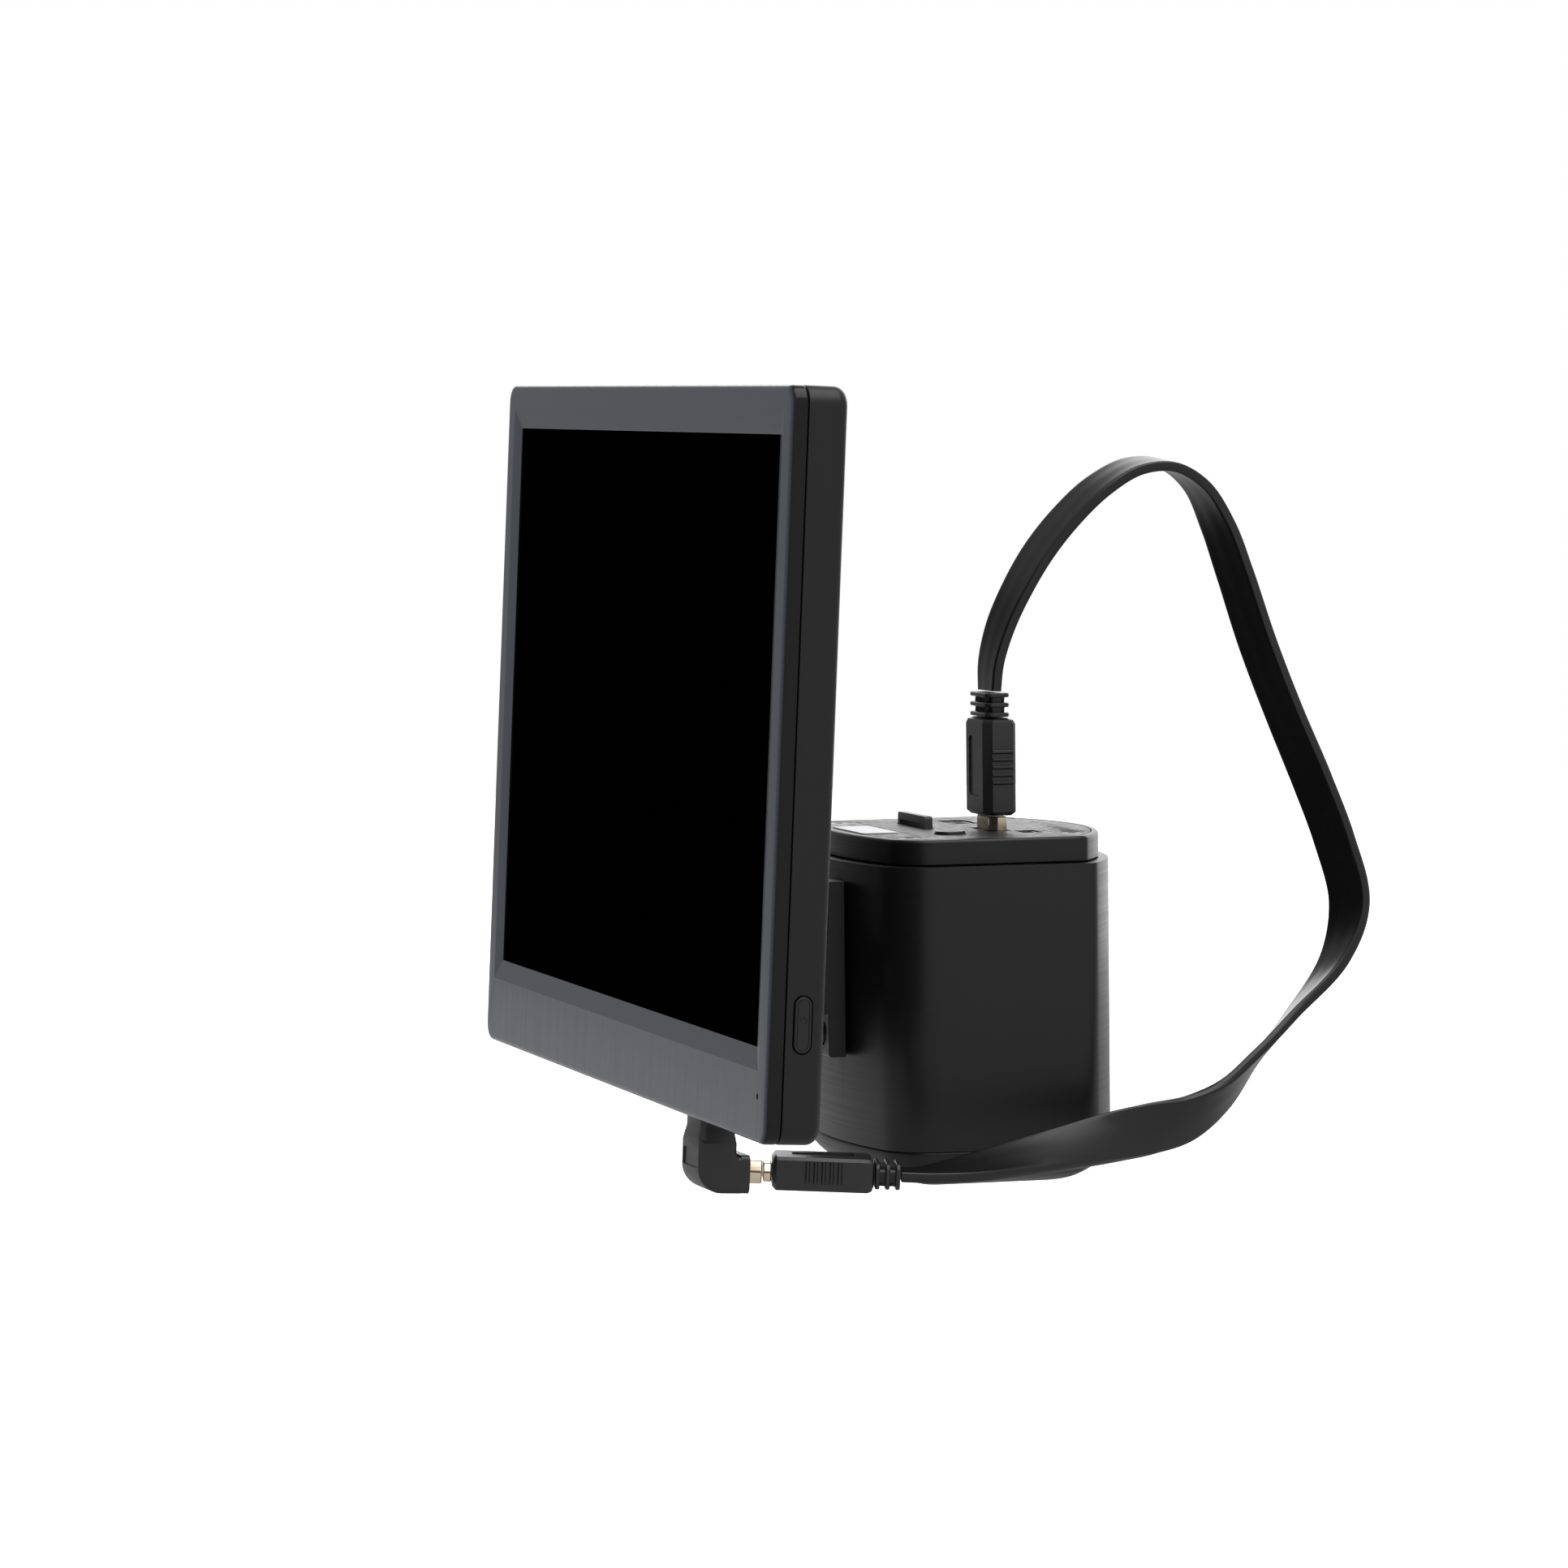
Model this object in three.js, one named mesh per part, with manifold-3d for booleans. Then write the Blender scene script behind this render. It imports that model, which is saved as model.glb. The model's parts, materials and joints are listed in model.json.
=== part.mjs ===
// Video magnifier: a camera head with a C-mount in its base, a monitor on a friction hinge
// in front of it, and a flat HDMI cable that joins the two.
// Millimetres, +Z up. The origin is the centre of the C-mount opening in the base face.
// The screen faces -Y, and +X is the right-hand side for someone who looks at the screen.
import * as THREE from 'three';
import { mergeVertices } from 'three/addons/utils/BufferGeometryUtils.js';
import Module from 'manifold-3d';

const wasm = await Module();
wasm.setup();

// ---------------------------------------------------------------- driving dimensions

const GAP = 0.3; // between pieces that touch

// camera head: a tube with flat ends at +X and -X and a bulged front and rear
const HEAD = { halfX: 44.7, wall: 3, bottomZ: 10, topZ: 81.6 };
const HEAD_FRONT = { reach: 34.2, bulgeR: 150, cornerR: 14 }; // the -Y side, towards the monitor
const HEAD_REAR = { reach: 37.15, bulgeR: 75, cornerR: 7 }; // the +Y side
const MIN_CORNER = 3; // of outlines that lie far inside the tube's own
const BASE = { fillet: 18, floor: 3, boreR: 17.3 }; // fillet: how far the rounded edge reaches inwards
const CAP = { inset: 2.5, topZ: 88.3, recess: 1.5, rim: 1.7, ledge: 7.8 };
const SCREW_PLACES = [[-31.5, -22], [31.5, -22], [28.5, 22], [-28.5, 22]]; // channels in the tube's corners
const CHANNEL = { outerR: 6, boreR: 1.6 };
const C_MOUNT = { boreR: 12.7, outerR: 17, flangeR: 21, length: 13, sensorZ: 17.5 };

// sockets and controls on the port plate
const HDMI_XY = [8, 6.9];
const USB_A_XY = [-21.5, 7.2];
const MINI_USB_XY = [20.6, 13];
const CARD_XY = [-12.3, -7.1];
const BUTTON_XY = [21, -8];
const CARD = { width: 24, thick: 2.1, length: 32, proud: 3.1 };
const SHELL = { width: 13.9, thick: 4.45 }; // outside of an HDMI plug's metal shell

// hinge between the head and the monitor; its axis runs along X
const HINGE = { y: -57, z: 53, pinR: 3, boreR: 3.4, knuckleR: 8 };
const ARM = { halfX: 16, plateHalfZ: 22.4, plateMidZ: 54.4, plateThick: 4.6, blockHalfZ: 10 };
const EAR = { thick: 5, halfZ: 14 };
const REST_TILT = -2.9; // degrees, the top leans back towards the head

// monitor, measured from the middle of the visible screen; y runs from the screen to the back
const SCREEN = { width: 256.3, height: 144.2 };
const MONITOR = { halfX: 140.8, bottomZ: -94.5, topZ: 83.8, frontY: -1, partingY: 3.05, backY: 13.1 };
const MONITOR_CORNER = 5;
const SCREEN_PLACE = { y: -31.8, z: 64.5 }; // of the screen's middle, from the hinge axis
const BEVEL = 5; // width of the slope round the screen
const PORT = { x: 68, y: 5.3 }; // HDMI socket in the monitor's bottom edge
const LED_XZ = [133.4, -83.4];
const POWER = { y: 7.3, z: -65.8, halfY: 2.05, halfZ: 6.65, proud: 0.5 };

// HDMI plugs and the right-angle adapter
const PLUG = { width: 18, thick: 8.4, length: 24.8, chamfer: 2.1, edge: 0.8 };
const PLUG_Z = 92.2; // underside of the upper plug
const RELIEF = { width: 16, thick: 6.5, core: 11.5, coreThick: 3.4, length: 6.1, ring: 1.1 };
const ADAPTER = {
  width: 17,
  edgeR: 2,
  frontY: 1.1,
  uprightThick: 9.6,
  backY: 14.1,
  topZ: -94.8,
  flangeZ: -98.6,
  bottomZ: -112.8,
  lyingHeight: 9.4,
  elbowR: 5,
};
const LOWER_PLUG = { z: -107.5, yaw: 14.5 }; // the lower plug sits at a slant in the adapter
const COLLAR = { start: -2.3, end: 5, neck: 2 }; // along the lower plug's axis, from the adapter's end

// flat cable: places of its middle line with the turn of its width, in degrees, about that line
const RIBBON = { width: 13, thick: 2.6, steps: 78 };
const RIBBON_ROUTE = [
  [8.0, 6.9, 123.8, 0],
  [8.0, 7.4, 131, -4],
  [8.4, 9.8, 140, -9],
  [9.4, 13.7, 149, -12],
  [10.9, 19.3, 158.9, -14],
  [12.6, 26.6, 168.2, -14],
  [14.0, 34.8, 175.8, -13],
  [14.5, 44.0, 180.6, -9],
  [14.4, 53.4, 180.6, -3],
  [14.6, 60.9, 175.3, 6],
  [16.4, 66.0, 165, 17],
  [20.2, 69.3, 152.5, 21],
  [25.4, 73.4, 135, 23],
  [31.0, 78.6, 117, 24],
  [35.9, 83.8, 101, 27],
  [39.4, 88.8, 85, 28],
  [41.8, 91.8, 69.4, 26],
  [43.9, 87.1, 55.4, 6],
  [47.2, 73.8, 41.2, -14],
  [51.2, 62.7, 31.2, -23],
  [53.9, 53.4, 22.6, -41],
  [56.0, 43.3, 17.4, -66],
  [59.2, 32.1, 15.6, -92],
  [63.0, 21.4, 14.4, -115],
  [67.8, 8.8, 12.9, -135],
  [73.4, -7.0, 11.2, -152],
  [78.0, -21.4, 9.7, -166],
  [79.2, -32.6, 8.9, -178],
  [77.8, -39.0, 9.05, -180],
];

// ---------------------------------------------------------------- materials

function look(color, roughness, metalness) {
  return { color, roughness, metalness };
}

const LOOKS = {
  anodised: look(0x2b2b2c, 0.42, 0.8),
  plate: look(0x303133, 0.6, 0.4),
  blackPlastic: look(0x26282a, 0.55, 0),
  bezel: look(0x454b53, 0.45, 0),
  rearPlastic: look(0x2c2d2d, 0.6, 0),
  screen: look(0x020203, 0.08, 0),
  blackSteel: look(0x1b1b1c, 0.4, 0.9),
  steel: look(0xb4b7ba, 0.3, 1),
  nickel: look(0xc3c0b8, 0.3, 1),
  gold: look(0xc8a468, 0.3, 1),
  board: look(0x0f4a2a, 0.6, 0),
  overmould: look(0x2b2b2d, 0.65, 0),
  cable: look(0x1d1d20, 0.5, 0),
  aluminium: look(0xa9abad, 0.4, 1),
  glass: look(0x9fc0c4, 0.05, 0),
  label: look(0xf0f1f2, 0.7, 0),
  chip: look(0x151618, 0.4, 0),
};

// ---------------------------------------------------------------- solids

function solid(geometry) {
  const bare = geometry.clone();
  bare.deleteAttribute('normal');
  bare.deleteAttribute('uv');
  const merged = mergeVertices(bare, 1e-4);
  return new wasm.Manifold(new wasm.Mesh({
    numProp: 3,
    vertProperties: new Float32Array(merged.attributes.position.array),
    triVerts: new Uint32Array(merged.index.array),
  }));
}

function geometryOf(manifold) {
  const mesh = manifold.getMesh();
  const geometry = new THREE.BufferGeometry();
  geometry.setAttribute('position', new THREE.BufferAttribute(mesh.vertProperties, 3));
  geometry.setIndex(new THREE.BufferAttribute(mesh.triVerts, 1));
  geometry.computeVertexNormals();
  return geometry;
}

function cut(body, ...tools) {
  return tools.reduce((left, tool) => left.subtract(tool), body);
}

function join(body, ...more) {
  return more.reduce((left, piece) => left.add(piece), body);
}

function box(x, y, z) {
  const geometry = new THREE.BoxGeometry(x[1] - x[0], y[1] - y[0], z[1] - z[0]);
  geometry.translate((x[0] + x[1]) / 2, (y[0] + y[1]) / 2, (z[0] + z[1]) / 2);
  return solid(geometry);
}

// an outline in X and Y, pulled from z0 up to z1
function prism(shape, z0, z1, curveSegments = 6) {
  const geometry = new THREE.ExtrudeGeometry(shape, { depth: z1 - z0, bevelEnabled: false, curveSegments });
  geometry.translate(0, 0, z0);
  return solid(geometry);
}

function roundRect(halfX, halfY, radius, cx = 0, cy = 0) {
  const shape = new THREE.Shape();
  const quarter = Math.PI / 2;
  shape.absarc(cx + halfX - radius, cy + halfY - radius, radius, 0, quarter);
  shape.absarc(cx - halfX + radius, cy + halfY - radius, radius, quarter, 2 * quarter);
  shape.absarc(cx - halfX + radius, cy - halfY + radius, radius, 2 * quarter, 3 * quarter);
  shape.absarc(cx + halfX - radius, cy - halfY + radius, radius, 3 * quarter, 4 * quarter);
  shape.closePath();
  return shape;
}

// a closed [radius, z] profile turned about the Z axis
function lathe(profile, segments = 24) {
  const points = profile.map(([r, z]) => new THREE.Vector2(r, z));
  const geometry = new THREE.LatheGeometry(points, segments);
  geometry.rotateX(Math.PI / 2);
  return solid(geometry);
}

function rod(radius, z0, z1, segments = 16) {
  return lathe([[0, z0], [radius, z0], [radius, z1], [0, z1]], segments);
}

// a body skinned over rings of equal point count, from the lowest to the highest
function skin(rings) {
  const count = rings[0].length / 3;
  const index = [];
  for (let layer = 0; layer + 1 < rings.length; layer += 1) {
    for (let i = 0; i < count; i += 1) {
      const a = layer * count + i;
      const b = layer * count + (i + 1) % count;
      index.push(a, b, b + count, a, b + count, a + count);
    }
  }
  const top = (rings.length - 1) * count;
  for (let i = 1; i + 1 < count; i += 1) {
    index.push(0, i + 1, i, top, top + i, top + i + 1);
  }
  const geometry = new THREE.BufferGeometry();
  geometry.setAttribute('position', new THREE.Float32BufferAttribute(rings.flat(), 3));
  geometry.setIndex(index);
  return solid(geometry);
}

// a body skinned over rounded rectangles
function loft(layers, arcPoints = 5) {
  return skin(layers.map(({ halfX, halfY, radius, z }) => {
    const ring = [];
    const centres = [[1, 1], [-1, 1], [-1, -1], [1, -1]];
    centres.forEach(([sx, sy], corner) => {
      for (let i = 0; i <= arcPoints; i += 1) {
        const angle = (corner + i / arcPoints) * Math.PI / 2;
        const x = sx * (halfX - radius) + radius * Math.cos(angle);
        const y = sy * (halfY - radius) + radius * Math.sin(angle);
        ring.push(x, y, z);
      }
    });
    return ring;
  }));
}

// turns a body modelled along +Z so that its +Z points along +X, -X, +Y or -Z
function aim(manifold, direction) {
  const turns = { '+x': [0, 90, 0], '-x': [0, -90, 0], '+y': [-90, 0, 0], '-y': [90, 0, 0], '-z': [180, 0, 0] };
  return manifold.rotate(turns[direction]);
}

// ---------------------------------------------------------------- scene groups

const magnifier = new THREE.Group();

// everything that tilts, measured from the hinge axis
const tilting = new THREE.Group();
tilting.position.set(0, HINGE.y, HINGE.z);
tilting.rotation.x = THREE.MathUtils.degToRad(REST_TILT);
magnifier.add(tilting);

// the monitor and what hangs from its HDMI socket, measured from the middle of the screen
const display = new THREE.Group();
display.position.set(0, SCREEN_PLACE.y, SCREEN_PLACE.z);
tilting.add(display);

function addPart(group, name, manifold, style) {
  const mesh = new THREE.Mesh(geometryOf(manifold), new THREE.MeshStandardMaterial(style));
  mesh.name = name;
  group.add(mesh);
  return mesh;
}

// ---------------------------------------------------------------- camera head: shell, base, top

// half of the outline round one side, from +X to -X: corner, bulged side, corner
function headSide({ reach, bulgeR, cornerR }, inset, cornerSteps, sideSteps) {
  const radius = Math.max(cornerR - inset, MIN_CORNER);
  const sideR = bulgeR - inset;
  const centreY = reach - bulgeR;
  const cornerX = HEAD.halfX - inset - radius;
  const cornerY = centreY + Math.sqrt((sideR - radius) ** 2 - cornerX ** 2);
  const turn = Math.atan2(cornerY - centreY, cornerX);
  const points = [];
  for (let i = 0; i <= cornerSteps; i += 1) {
    const angle = turn * i / cornerSteps;
    points.push([cornerX + radius * Math.cos(angle), cornerY + radius * Math.sin(angle)]);
  }
  for (let i = 1; i < sideSteps; i += 1) {
    const angle = turn + (Math.PI - 2 * turn) * i / sideSteps;
    points.push([sideR * Math.cos(angle), centreY + sideR * Math.sin(angle)]);
  }
  const mirrored = points.slice(0, cornerSteps + 1).map(([x, y]) => [-x, y]);
  return [...points, ...mirrored.reverse()];
}

function headPoints(inset) {
  const rear = headSide(HEAD_REAR, inset, 5, 8);
  const front = headSide(HEAD_FRONT, inset, 5, 8).map(([x, y]) => [-x, -y]);
  return [...rear, ...front];
}

function headOutline(inset) {
  const shape = new THREE.Shape();
  headPoints(inset).forEach(([x, y], i) => (i ? shape.lineTo(x, y) : shape.moveTo(x, y)));
  shape.closePath();
  return shape;
}

// a body skinned over outlines of the head, each given as [inset, z]
function headLoft(layers) {
  return skin(layers.map(([inset, z]) => headPoints(inset).flatMap(([x, y]) => [x, y, z])));
}

function buildCameraShell() {
  const { bottomZ, topZ, wall } = HEAD;
  let shell = prism(headOutline(0), bottomZ, topZ);
  shell = shell.subtract(prism(headOutline(wall), bottomZ - 1, topZ + 1));
  SCREW_PLACES.forEach(([x, y]) => {
    shell = shell.add(rod(CHANNEL.outerR, bottomZ, topZ, 12).translate([x, y, 0]));
  });
  SCREW_PLACES.forEach(([x, y]) => {
    shell = shell.subtract(rod(CHANNEL.boreR, bottomZ - 1, topZ + 1, 10).translate([x, y, 0]));
  });
  armScrewPlaces().forEach(([x, z]) => {
    const hole = aim(rod(1.8, -2, 8, 10), '-y').translate([x, wall + 2 - HEAD_FRONT.reach, z]);
    shell = shell.subtract(hole);
  });
  addPart(magnifier, 'camera_shell', shell, LOOKS.anodised);
}

function buildBaseCap() {
  const { fillet, floor, boreR } = BASE;
  const topZ = HEAD.bottomZ - GAP;
  const layers = [];
  const steps = 8;
  for (let i = 0; i <= steps; i += 1) {
    const angle = (i / steps) * Math.PI / 2;
    layers.push([fillet * (1 - Math.sin(angle)), topZ * (1 - Math.cos(angle))]);
  }
  const bowl = headLoft(layers);
  let cap = bowl.subtract(headLoft([[12, floor], [5, topZ - 1], [5, topZ + 1]]));
  SCREW_PLACES.forEach(([x, y]) => {
    cap = cap.add(rod(5.5, floor, topZ, 12).translate([x, y, 0]).intersect(bowl));
  });
  SCREW_PLACES.forEach(([x, y]) => {
    const counterbore = lathe([[0, -1], [3.4, -1], [3.4, 6.7], [1.9, 6.7], [1.9, 12], [0, 12]], 12);
    cap = cap.subtract(counterbore.translate([x, y, 0]));
  });
  cap = cap.subtract(rod(boreR, -1, 12, 32));
  addPart(magnifier, 'base_cap', cap, LOOKS.anodised);
}

// socket-head screw with its head down at z = 0 and its shank pointing up
function capScrew(headR, headH, shankR, length, segments = 12) {
  const outline = [[0, 0], [headR, 0], [headR, headH], [shankR, headH], [shankR, length], [0, length]];
  const body = lathe(outline, segments);
  return body.subtract(rod(headR * 0.5, -1, headH * 0.6, 6));
}

function buildBaseScrews() {
  SCREW_PLACES.forEach(([x, y], i) => {
    const screw = capScrew(3, 2.8, 1.25, 20).translate([x, y, 3.6]);
    addPart(magnifier, `base_screw_${i + 1}`, screw, LOOKS.blackSteel);
  });
}

function capOutline(extra) {
  return headOutline(CAP.inset + extra);
}

function buildTopCap() {
  const ledgeZ = CAP.topZ - CAP.recess - GAP;
  let cap = prism(capOutline(0), HEAD.topZ + GAP, CAP.topZ);
  cap = cut(cap, prism(capOutline(CAP.rim), ledgeZ, CAP.topZ + 1), prism(capOutline(CAP.ledge), 70, 90));
  SCREW_PLACES.forEach(([x, y]) => {
    cap = cap.subtract(rod(1.7, 70, 90, 10).translate([x, y, 0]));
  });
  addPart(magnifier, 'top_cap', cap, LOOKS.anodised);
}

const plateTop = CAP.topZ;
const plateBottom = CAP.topZ - CAP.recess;

function socketHole([x, y], halfX, halfY) {
  return box([x - halfX, x + halfX], [y - halfY, y + halfY], [plateBottom - 1, plateTop + 1]);
}

function buildPortPlate() {
  let plate = prism(capOutline(CAP.rim + GAP), plateBottom, plateTop);
  SCREW_PLACES.forEach(([x, y]) => {
    const sink = lathe([[0, 70], [1.7, 70], [1.7, 86.9], [3.3, plateTop], [3.3, 90], [0, 90]], 16);
    plate = plate.subtract(sink.translate([x, y, 0]));
  });
  plate = cut(
    plate,
    socketHole(HDMI_XY, 8.1, 3.4),
    socketHole(USB_A_XY, 7.3, 3.6),
    socketHole(MINI_USB_XY, 4.5, 2.7),
    socketHole(CARD_XY, CARD.width / 2 + 0.6, CARD.thick / 2 + 0.6),
    rod(4.3, 80, 90, 20).translate([...BUTTON_XY, 0]),
  );
  addPart(magnifier, 'port_plate', plate, LOOKS.plate);
}

function buildPlateScrews() {
  SCREW_PLACES.forEach(([x, y], i) => {
    let screw = lathe([[0, 70], [1.25, 70], [1.25, 86.9], [2.95, 88.1], [2.95, 88.2], [0, 88.2]], 16);
    screw = screw.subtract(rod(1.3, 87.3, 90, 6)).translate([x, y, 0]);
    addPart(magnifier, `plate_screw_${i + 1}`, screw, LOOKS.blackSteel);
  });
}

function buildLabel() {
  const label = box([-13.4, 13.8], [-29, -19.4], [plateTop + 0.05, plateTop + 0.3]);
  const corner = prism(roundRect(13.6, 4.8, 0.8, 0.2, -24.2), plateTop, plateTop + 1, 3);
  addPart(magnifier, 'label_plate', label.intersect(corner), LOOKS.label);
}

// ---------------------------------------------------------------- camera head: sockets, card, button

const BOARD_TOP = 75.4; // of the board that carries the sockets

function buildHdmiSocket() {
  const [x, y] = HDMI_XY;
  let socket = box([x - 7.75, x + 7.75], [y - 3.05, y + 3.05], [BOARD_TOP + GAP, plateTop - 0.3]);
  socket = socket.subtract(box([x - 7.25, x + 7.25], [y - 2.55, y + 2.55], [78, 90]));
  addPart(magnifier, 'hdmi_socket', socket, LOOKS.nickel);
}

function buildUsbASocket() {
  const [x, y] = USB_A_XY;
  let socket = box([x - 6.9, x + 6.9], [y - 3.2, y + 3.2], [BOARD_TOP + GAP, plateTop - 0.3]);
  socket = socket.subtract(box([x - 6.4, x + 6.4], [y - 2.7, y + 2.7], [76.4, 90]));
  const tongue = box([x - 5.6, x + 5.6], [y + 0.4, y + 2.3], [76.7, plateTop - 1]);
  addPart(magnifier, 'usb_a_socket', socket, LOOKS.nickel);
  addPart(magnifier, 'usb_a_tongue', tongue, LOOKS.label);
}

function buildMiniUsbSocket() {
  const [x, y] = MINI_USB_XY;
  let socket = box([x - 4.2, x + 4.2], [y - 2.4, y + 2.4], [BOARD_TOP + GAP, plateTop - 0.3]);
  const well = box([x - 3.7, x + 3.7], [y - 1.9, y + 1.9], [79, 90]);
  const tongue = box([x - 2.4, x + 2.4], [y - 0.6, y + 0.5], [78, 86.5]);
  socket = socket.subtract(well).add(tongue);
  addPart(magnifier, 'mini_usb_socket', socket, LOOKS.nickel);
}

function buildCardAndSlot() {
  const [x, y] = CARD_XY;
  const { width, thick, length, proud } = CARD;
  const topZ = plateTop + proud;
  const bottomZ = topZ - length;
  const outline = new THREE.Shape();
  outline.moveTo(-width / 2, topZ);
  outline.lineTo(-width / 2, bottomZ + 3.5);
  outline.lineTo(-width / 2 + 3.5, bottomZ);
  outline.lineTo(width / 2, bottomZ);
  outline.lineTo(width / 2, topZ);
  outline.closePath();
  let card = prism(outline, -thick / 2, thick / 2).rotate([90, 0, 0]).translate([x, y, 0]);
  // shallow label field on the face and a lip to pull the card by
  card = card.subtract(box([x - 10, x + 10], [y - thick, y - thick / 2 + 0.25], [bottomZ + 8, topZ - 1.6]));
  addPart(magnifier, 'sd_card', card, LOOKS.blackPlastic);

  let slot = box([x - 13.4, x + 13.4], [y - 2.1, y + 2.1], [bottomZ - 2, plateBottom - 0.4]);
  const way = 0.35;
  slot = slot.subtract(box(
    [x - width / 2 - way, x + width / 2 + way],
    [y - thick / 2 - way, y + thick / 2 + way],
    [bottomZ - 0.6, 95],
  ));
  addPart(magnifier, 'sd_socket', slot, LOOKS.nickel);
}

function buildCameraButton() {
  const button = lathe([
    [0, 82.3], [1.6, 82.3], [1.6, 85], [4.8, 85], [4.8, 86.1], [3.9, 86.1], [3.9, 88.8], [3.5, 89.1], [0, 89.1],
  ], 20);
  addPart(magnifier, 'camera_button', button.translate([...BUTTON_XY, 0]), LOOKS.blackPlastic);
}

// ---------------------------------------------------------------- camera head: optics and boards

function buildOptics() {
  const { boreR, outerR, flangeR, length, sensorZ } = C_MOUNT;
  const floor = BASE.floor + GAP;
  const ring = lathe([
    [boreR, 0], [outerR, 0], [outerR, floor], [flangeR, floor], [flangeR, floor + 2.6],
    [outerR, floor + 2.6], [outerR, length], [boreR, length], [boreR, 0],
  ], 32);
  addPart(magnifier, 'c_mount_ring', ring, LOOKS.steel);
  addPart(magnifier, 'ir_filter', rod(15.5, length + GAP, length + 1.4, 24), LOOKS.glass);
  const sensor = box([-7.6, 7.6], [-6, 6], [sensorZ, sensorZ + 2]);
  addPart(magnifier, 'image_sensor', sensor, LOOKS.chip);
  addPart(magnifier, 'sensor_board', prism(roundRect(22, 22, 2), 19.8, 21.4, 3), LOOKS.board);
}

function buildBoards() {
  // C-shaped sheet that carries the upright main board and the socket board
  const outline = new THREE.Shape();
  const path = [[-20, 21.8], [20, 21.8], [20, 24], [-17.8, 24], [-17.8, 53], [30, 53], [30, 55.2], [-20, 55.2]];
  path.forEach(([x, z], i) => (i ? outline.lineTo(x, z) : outline.moveTo(x, z)));
  outline.closePath();
  const chassis = prism(outline, -14, 14).rotate([90, 0, 0]);
  addPart(magnifier, 'board_chassis', chassis, LOOKS.aluminium);

  let main = box([-16, 22], [-13, 14], [24.4, 26]);
  main = join(main, box([-8, 6], [0, 14], [25.9, 27.6]), box([10, 18], [2, 12], [25.9, 27.2]));
  addPart(magnifier, 'main_board', main, LOOKS.board);

  const shape = new THREE.Shape();
  [[-33, -3.5], [13, -3.5], [13, -13.6], [31, -13.6], [31, 11], [25, 16.4], [-24.5, 16.6], [-33, 11]]
    .forEach(([x, y], i) => (i ? shape.lineTo(x, y) : shape.moveTo(x, y)));
  shape.closePath();
  let io = prism(shape, BOARD_TOP - 1.6, BOARD_TOP);
  const [bx, by] = BUTTON_XY;
  io = io.add(box([bx - 3, bx + 3], [by - 3, by + 3], [BOARD_TOP - 0.1, 80.6]));
  io = io.add(rod(1.4, 80.5, 81.3, 10).translate([bx, by, 0]));
  // legs down to the chassis
  [[-14, 12], [26, 12], [-14, 0], [26, 0]].forEach(([x, y]) => {
    io = io.add(rod(2, 55.5, BOARD_TOP - 1, 8).translate([x, y, 0]));
  });
  addPart(magnifier, 'io_board', io, LOOKS.board);
}

// ---------------------------------------------------------------- hinge arm and pin

function armScrewPlaces() {
  return [[-10, 38], [10, 38], [-10, 71], [10, 71]];
}

// an outline in Y and Z pulled along X between x0 and x1
function sidePrism(shape, x0, x1, curveSegments = 8) {
  return prism(shape, x0, x1, curveSegments).rotate([90, 0, 90]);
}

function buildHingeArm() {
  const { halfX, plateHalfZ, plateMidZ, plateThick, blockHalfZ } = ARM;
  const backY = -HEAD_FRONT.reach - GAP;
  const faceY = backY - plateThick;
  const [z0, z1] = [plateMidZ - plateHalfZ, plateMidZ + plateHalfZ];
  const bevel = 0.8;
  const profile = new THREE.Shape();
  profile.moveTo(backY, z0);
  profile.lineTo(backY, z1);
  profile.lineTo(faceY + bevel, z1);
  profile.lineTo(faceY, z1 - bevel);
  profile.lineTo(faceY, HINGE.z + blockHalfZ);
  profile.lineTo(-48, HINGE.z + blockHalfZ);
  profile.lineTo(HINGE.y, HINGE.z + HINGE.knuckleR);
  profile.absarc(HINGE.y, HINGE.z, HINGE.knuckleR, Math.PI / 2, Math.PI * 1.5);
  profile.lineTo(-48, HINGE.z - blockHalfZ);
  profile.lineTo(faceY, HINGE.z - blockHalfZ);
  profile.lineTo(faceY, z0 + bevel);
  profile.lineTo(faceY + bevel, z0);
  profile.closePath();
  let arm = sidePrism(profile, -halfX, halfX, 12);
  arm = arm.subtract(aim(rod(HINGE.boreR, -30, 30, 20), '+x').translate([0, HINGE.y, HINGE.z]));
  armScrewPlaces().forEach(([x, z]) => {
    arm = arm.subtract(aim(rod(1.8, -10, 10, 10), '-y').translate([x, backY, z]));
    arm = arm.subtract(aim(rod(3.3, 0, 10, 14), '-y').translate([x, faceY + 1.8, z]));
  });
  addPart(magnifier, 'hinge_arm', arm, LOOKS.anodised);

  armScrewPlaces().forEach(([x, z], i) => {
    const screw = aim(capScrew(2.9, 1.8, 1.4, 8.6, 14), '+y').translate([x, faceY - 0.4, z]);
    addPart(magnifier, `arm_screw_${i + 1}`, screw, LOOKS.blackSteel);
  });
}

function alongHinge(manifold) {
  return aim(manifold, '+x').translate([0, HINGE.y, HINGE.z]);
}

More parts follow.
